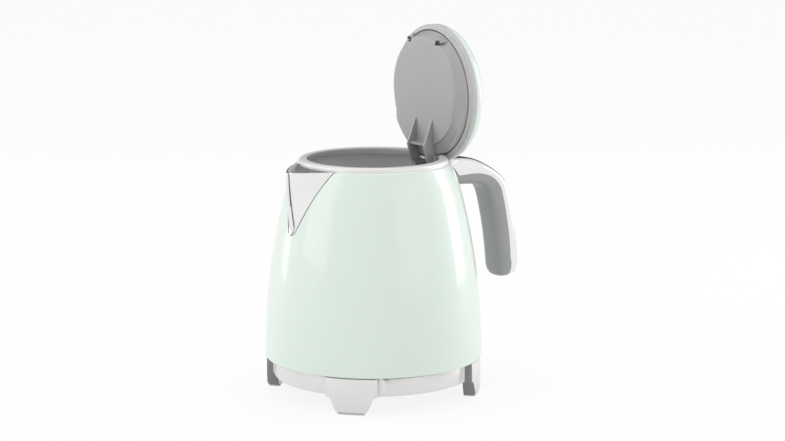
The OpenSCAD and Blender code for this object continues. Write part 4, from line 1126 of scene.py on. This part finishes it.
class KETTLE_OT_studio(bpy.types.Operator):
    """Pale floor, soft lamps and the camera"""

    bl_idname = "kettle.studio"
    bl_label = "Studio"

    def execute(self, context):
        scene = context.scene
        self.floor(scene)
        self.world(scene)
        area_lamp("key_lamp", beside(-70, 1.5, 0.75), size=(1.0, 1.2), power=5.5)
        area_lamp("fill_lamp", beside(45, 1.9, 0.7), size=(1.2, 1.2), power=3.5)
        area_lamp("left_strip", beside(-116, 1.3, 0.30), size=(0.30, 1.0), power=2.2)
        area_lamp("right_strip", beside(112, 1.3, 0.30), size=(0.42, 1.0), power=6)
        area_lamp("top_lamp", (0.1, 0.2, 1.7), size=(1.3, 1.3), power=4)
        self.camera(scene)
        return {"FINISHED"}

    def floor(self, scene):
        """Pale floor that keeps the object's shadow."""
        bm = bmesh.new()
        bmesh.ops.create_grid(bm, x_segments=1, y_segments=1, size=6.0)
        mesh = bpy.data.meshes.new("floor")
        bm.to_mesh(mesh)
        bm.free()
        floor = bpy.data.objects.new("floor", mesh)
        scene.collection.objects.link(floor)
        finish = Finish("pale_floor")
        finish.set(Base_Color=FLOOR_GREY, Roughness=0.9)
        lit = Socket(finish, finish.shader.outputs[0])
        glow = finish.add("ShaderNodeEmission", {}, {"Color": WHITE, "Strength": 1.0})[0]
        camera_ray, glossy_ray, clear_ray = finish.rays()
        seen = camera_ray + glossy_ray + clear_ray
        mixed = finish.add("ShaderNodeMixShader", {}, {0: FLOOR_GLOW * seen, 1: lit, 2: glow})[0]
        finish.feed(finish.tree.nodes["Material Output"].inputs[0], mixed)
        mesh.materials.append(finish.material)

    def world(self, scene):
        """White for the camera, and a plainer light that falls on the object.

        Metal sees white too, apart from a dark screen behind the object that draws its edges."""
        world = bpy.data.worlds.new("studio")
        scene.world = world
        world.use_nodes = True
        nodes = Nodes(world.node_tree)
        camera_ray, glossy_ray, clear_ray = nodes.rays()
        mirror = nodes.add("ShaderNodeMath", {"operation": "MAXIMUM"}, {0: glossy_ray, 1: clear_ray})[0]
        towards = nodes.add("ShaderNodeTexCoord", {}, {})[0]
        facing = nodes.add("ShaderNodeVectorMath", {"operation": "DOT_PRODUCT"},
                           {0: towards, 1: beside(0, 1.0, 0.0)})[1]
        place = nodes.add("ShaderNodeMapRange", {},
                          {0: facing, 1: SCREEN_RANGE[0], 2: SCREEN_RANGE[1]})[0]
        screen = nodes.add("ShaderNodeValToRGB", {"stops": SCREEN_STOPS}, {0: place})[0]
        plain = nodes.add("ShaderNodeBackground", {}, {0: WHITE, 1: AMBIENT})[0]
        backdrop = nodes.add("ShaderNodeBackground", {}, {0: WHITE, 1: 1.0})[0]
        glossy = nodes.add("ShaderNodeBackground", {}, {0: screen, 1: 1.0})[0]
        metal = nodes.add("ShaderNodeMixShader", {}, {0: mirror, 1: plain, 2: glossy})[0]
        mixed = nodes.add("ShaderNodeMixShader", {}, {0: camera_ray, 1: metal, 2: backdrop})[0]
        nodes.feed(nodes.tree.nodes["World Output"].inputs[0], mixed)

    def camera(self, scene):
        data = bpy.data.cameras.new("camera")
        data.sensor_width = SENSOR
        data.lens = LENS
        data.clip_end = 50.0
        camera = bpy.data.objects.new("camera", data)
        camera.location = beside(0, CAMERA_DISTANCE, CAMERA_HEIGHT)
        camera.rotation_euler = (math.pi / 2 - CAMERA_PITCH, 0.0, CAMERA_AZIMUTH - CAMERA_YAW)
        scene.collection.objects.link(camera)
        scene.camera = camera
        scene.view_settings.view_transform = "Standard"


class KETTLE_PT_panel(bpy.types.Panel):
    """Lists the kettle's sizes, colours and pieces"""

    bl_idname = "KETTLE_PT_panel"
    bl_label = "Jug kettle"
    bl_space_type = "VIEW_3D"
    bl_region_type = "UI"
    bl_category = "Kettle"

    def draw(self, context):
        layout = self.layout
        for group in (context.scene.kettle_sizes, context.scene.kettle_colours):
            box_layout = layout.box()
            for name in group.__annotations__:
                box_layout.prop(group, name)
        for operator in OPERATORS:
            layout.operator(operator.bl_idname)


OPERATORS = (KETTLE_OT_finishes, KETTLE_OT_body, KETTLE_OT_rim, KETTLE_OT_spout, KETTLE_OT_lid,
             KETTLE_OT_liner, KETTLE_OT_button, KETTLE_OT_springs, KETTLE_OT_handle,
             KETTLE_OT_base, KETTLE_OT_small_pieces, KETTLE_OT_studio)
CLASSES = (KettleSizes, KettleColours, *OPERATORS, KETTLE_PT_panel)


def register():
    for cls in CLASSES:
        bpy.utils.register_class(cls)
    bpy.types.Scene.kettle_sizes = PointerProperty(type=KettleSizes)
    bpy.types.Scene.kettle_colours = PointerProperty(type=KettleColours)


def unregister():
    del bpy.types.Scene.kettle_sizes
    del bpy.types.Scene.kettle_colours
    for cls in reversed(CLASSES):
        bpy.utils.unregister_class(cls)


def main():
    register()
    for operator in OPERATORS:
        group, name = operator.bl_idname.split(".")
        getattr(getattr(bpy.ops, group), name)()
    bpy.context.view_layer.update()


if __name__ == "__main__":
    main()
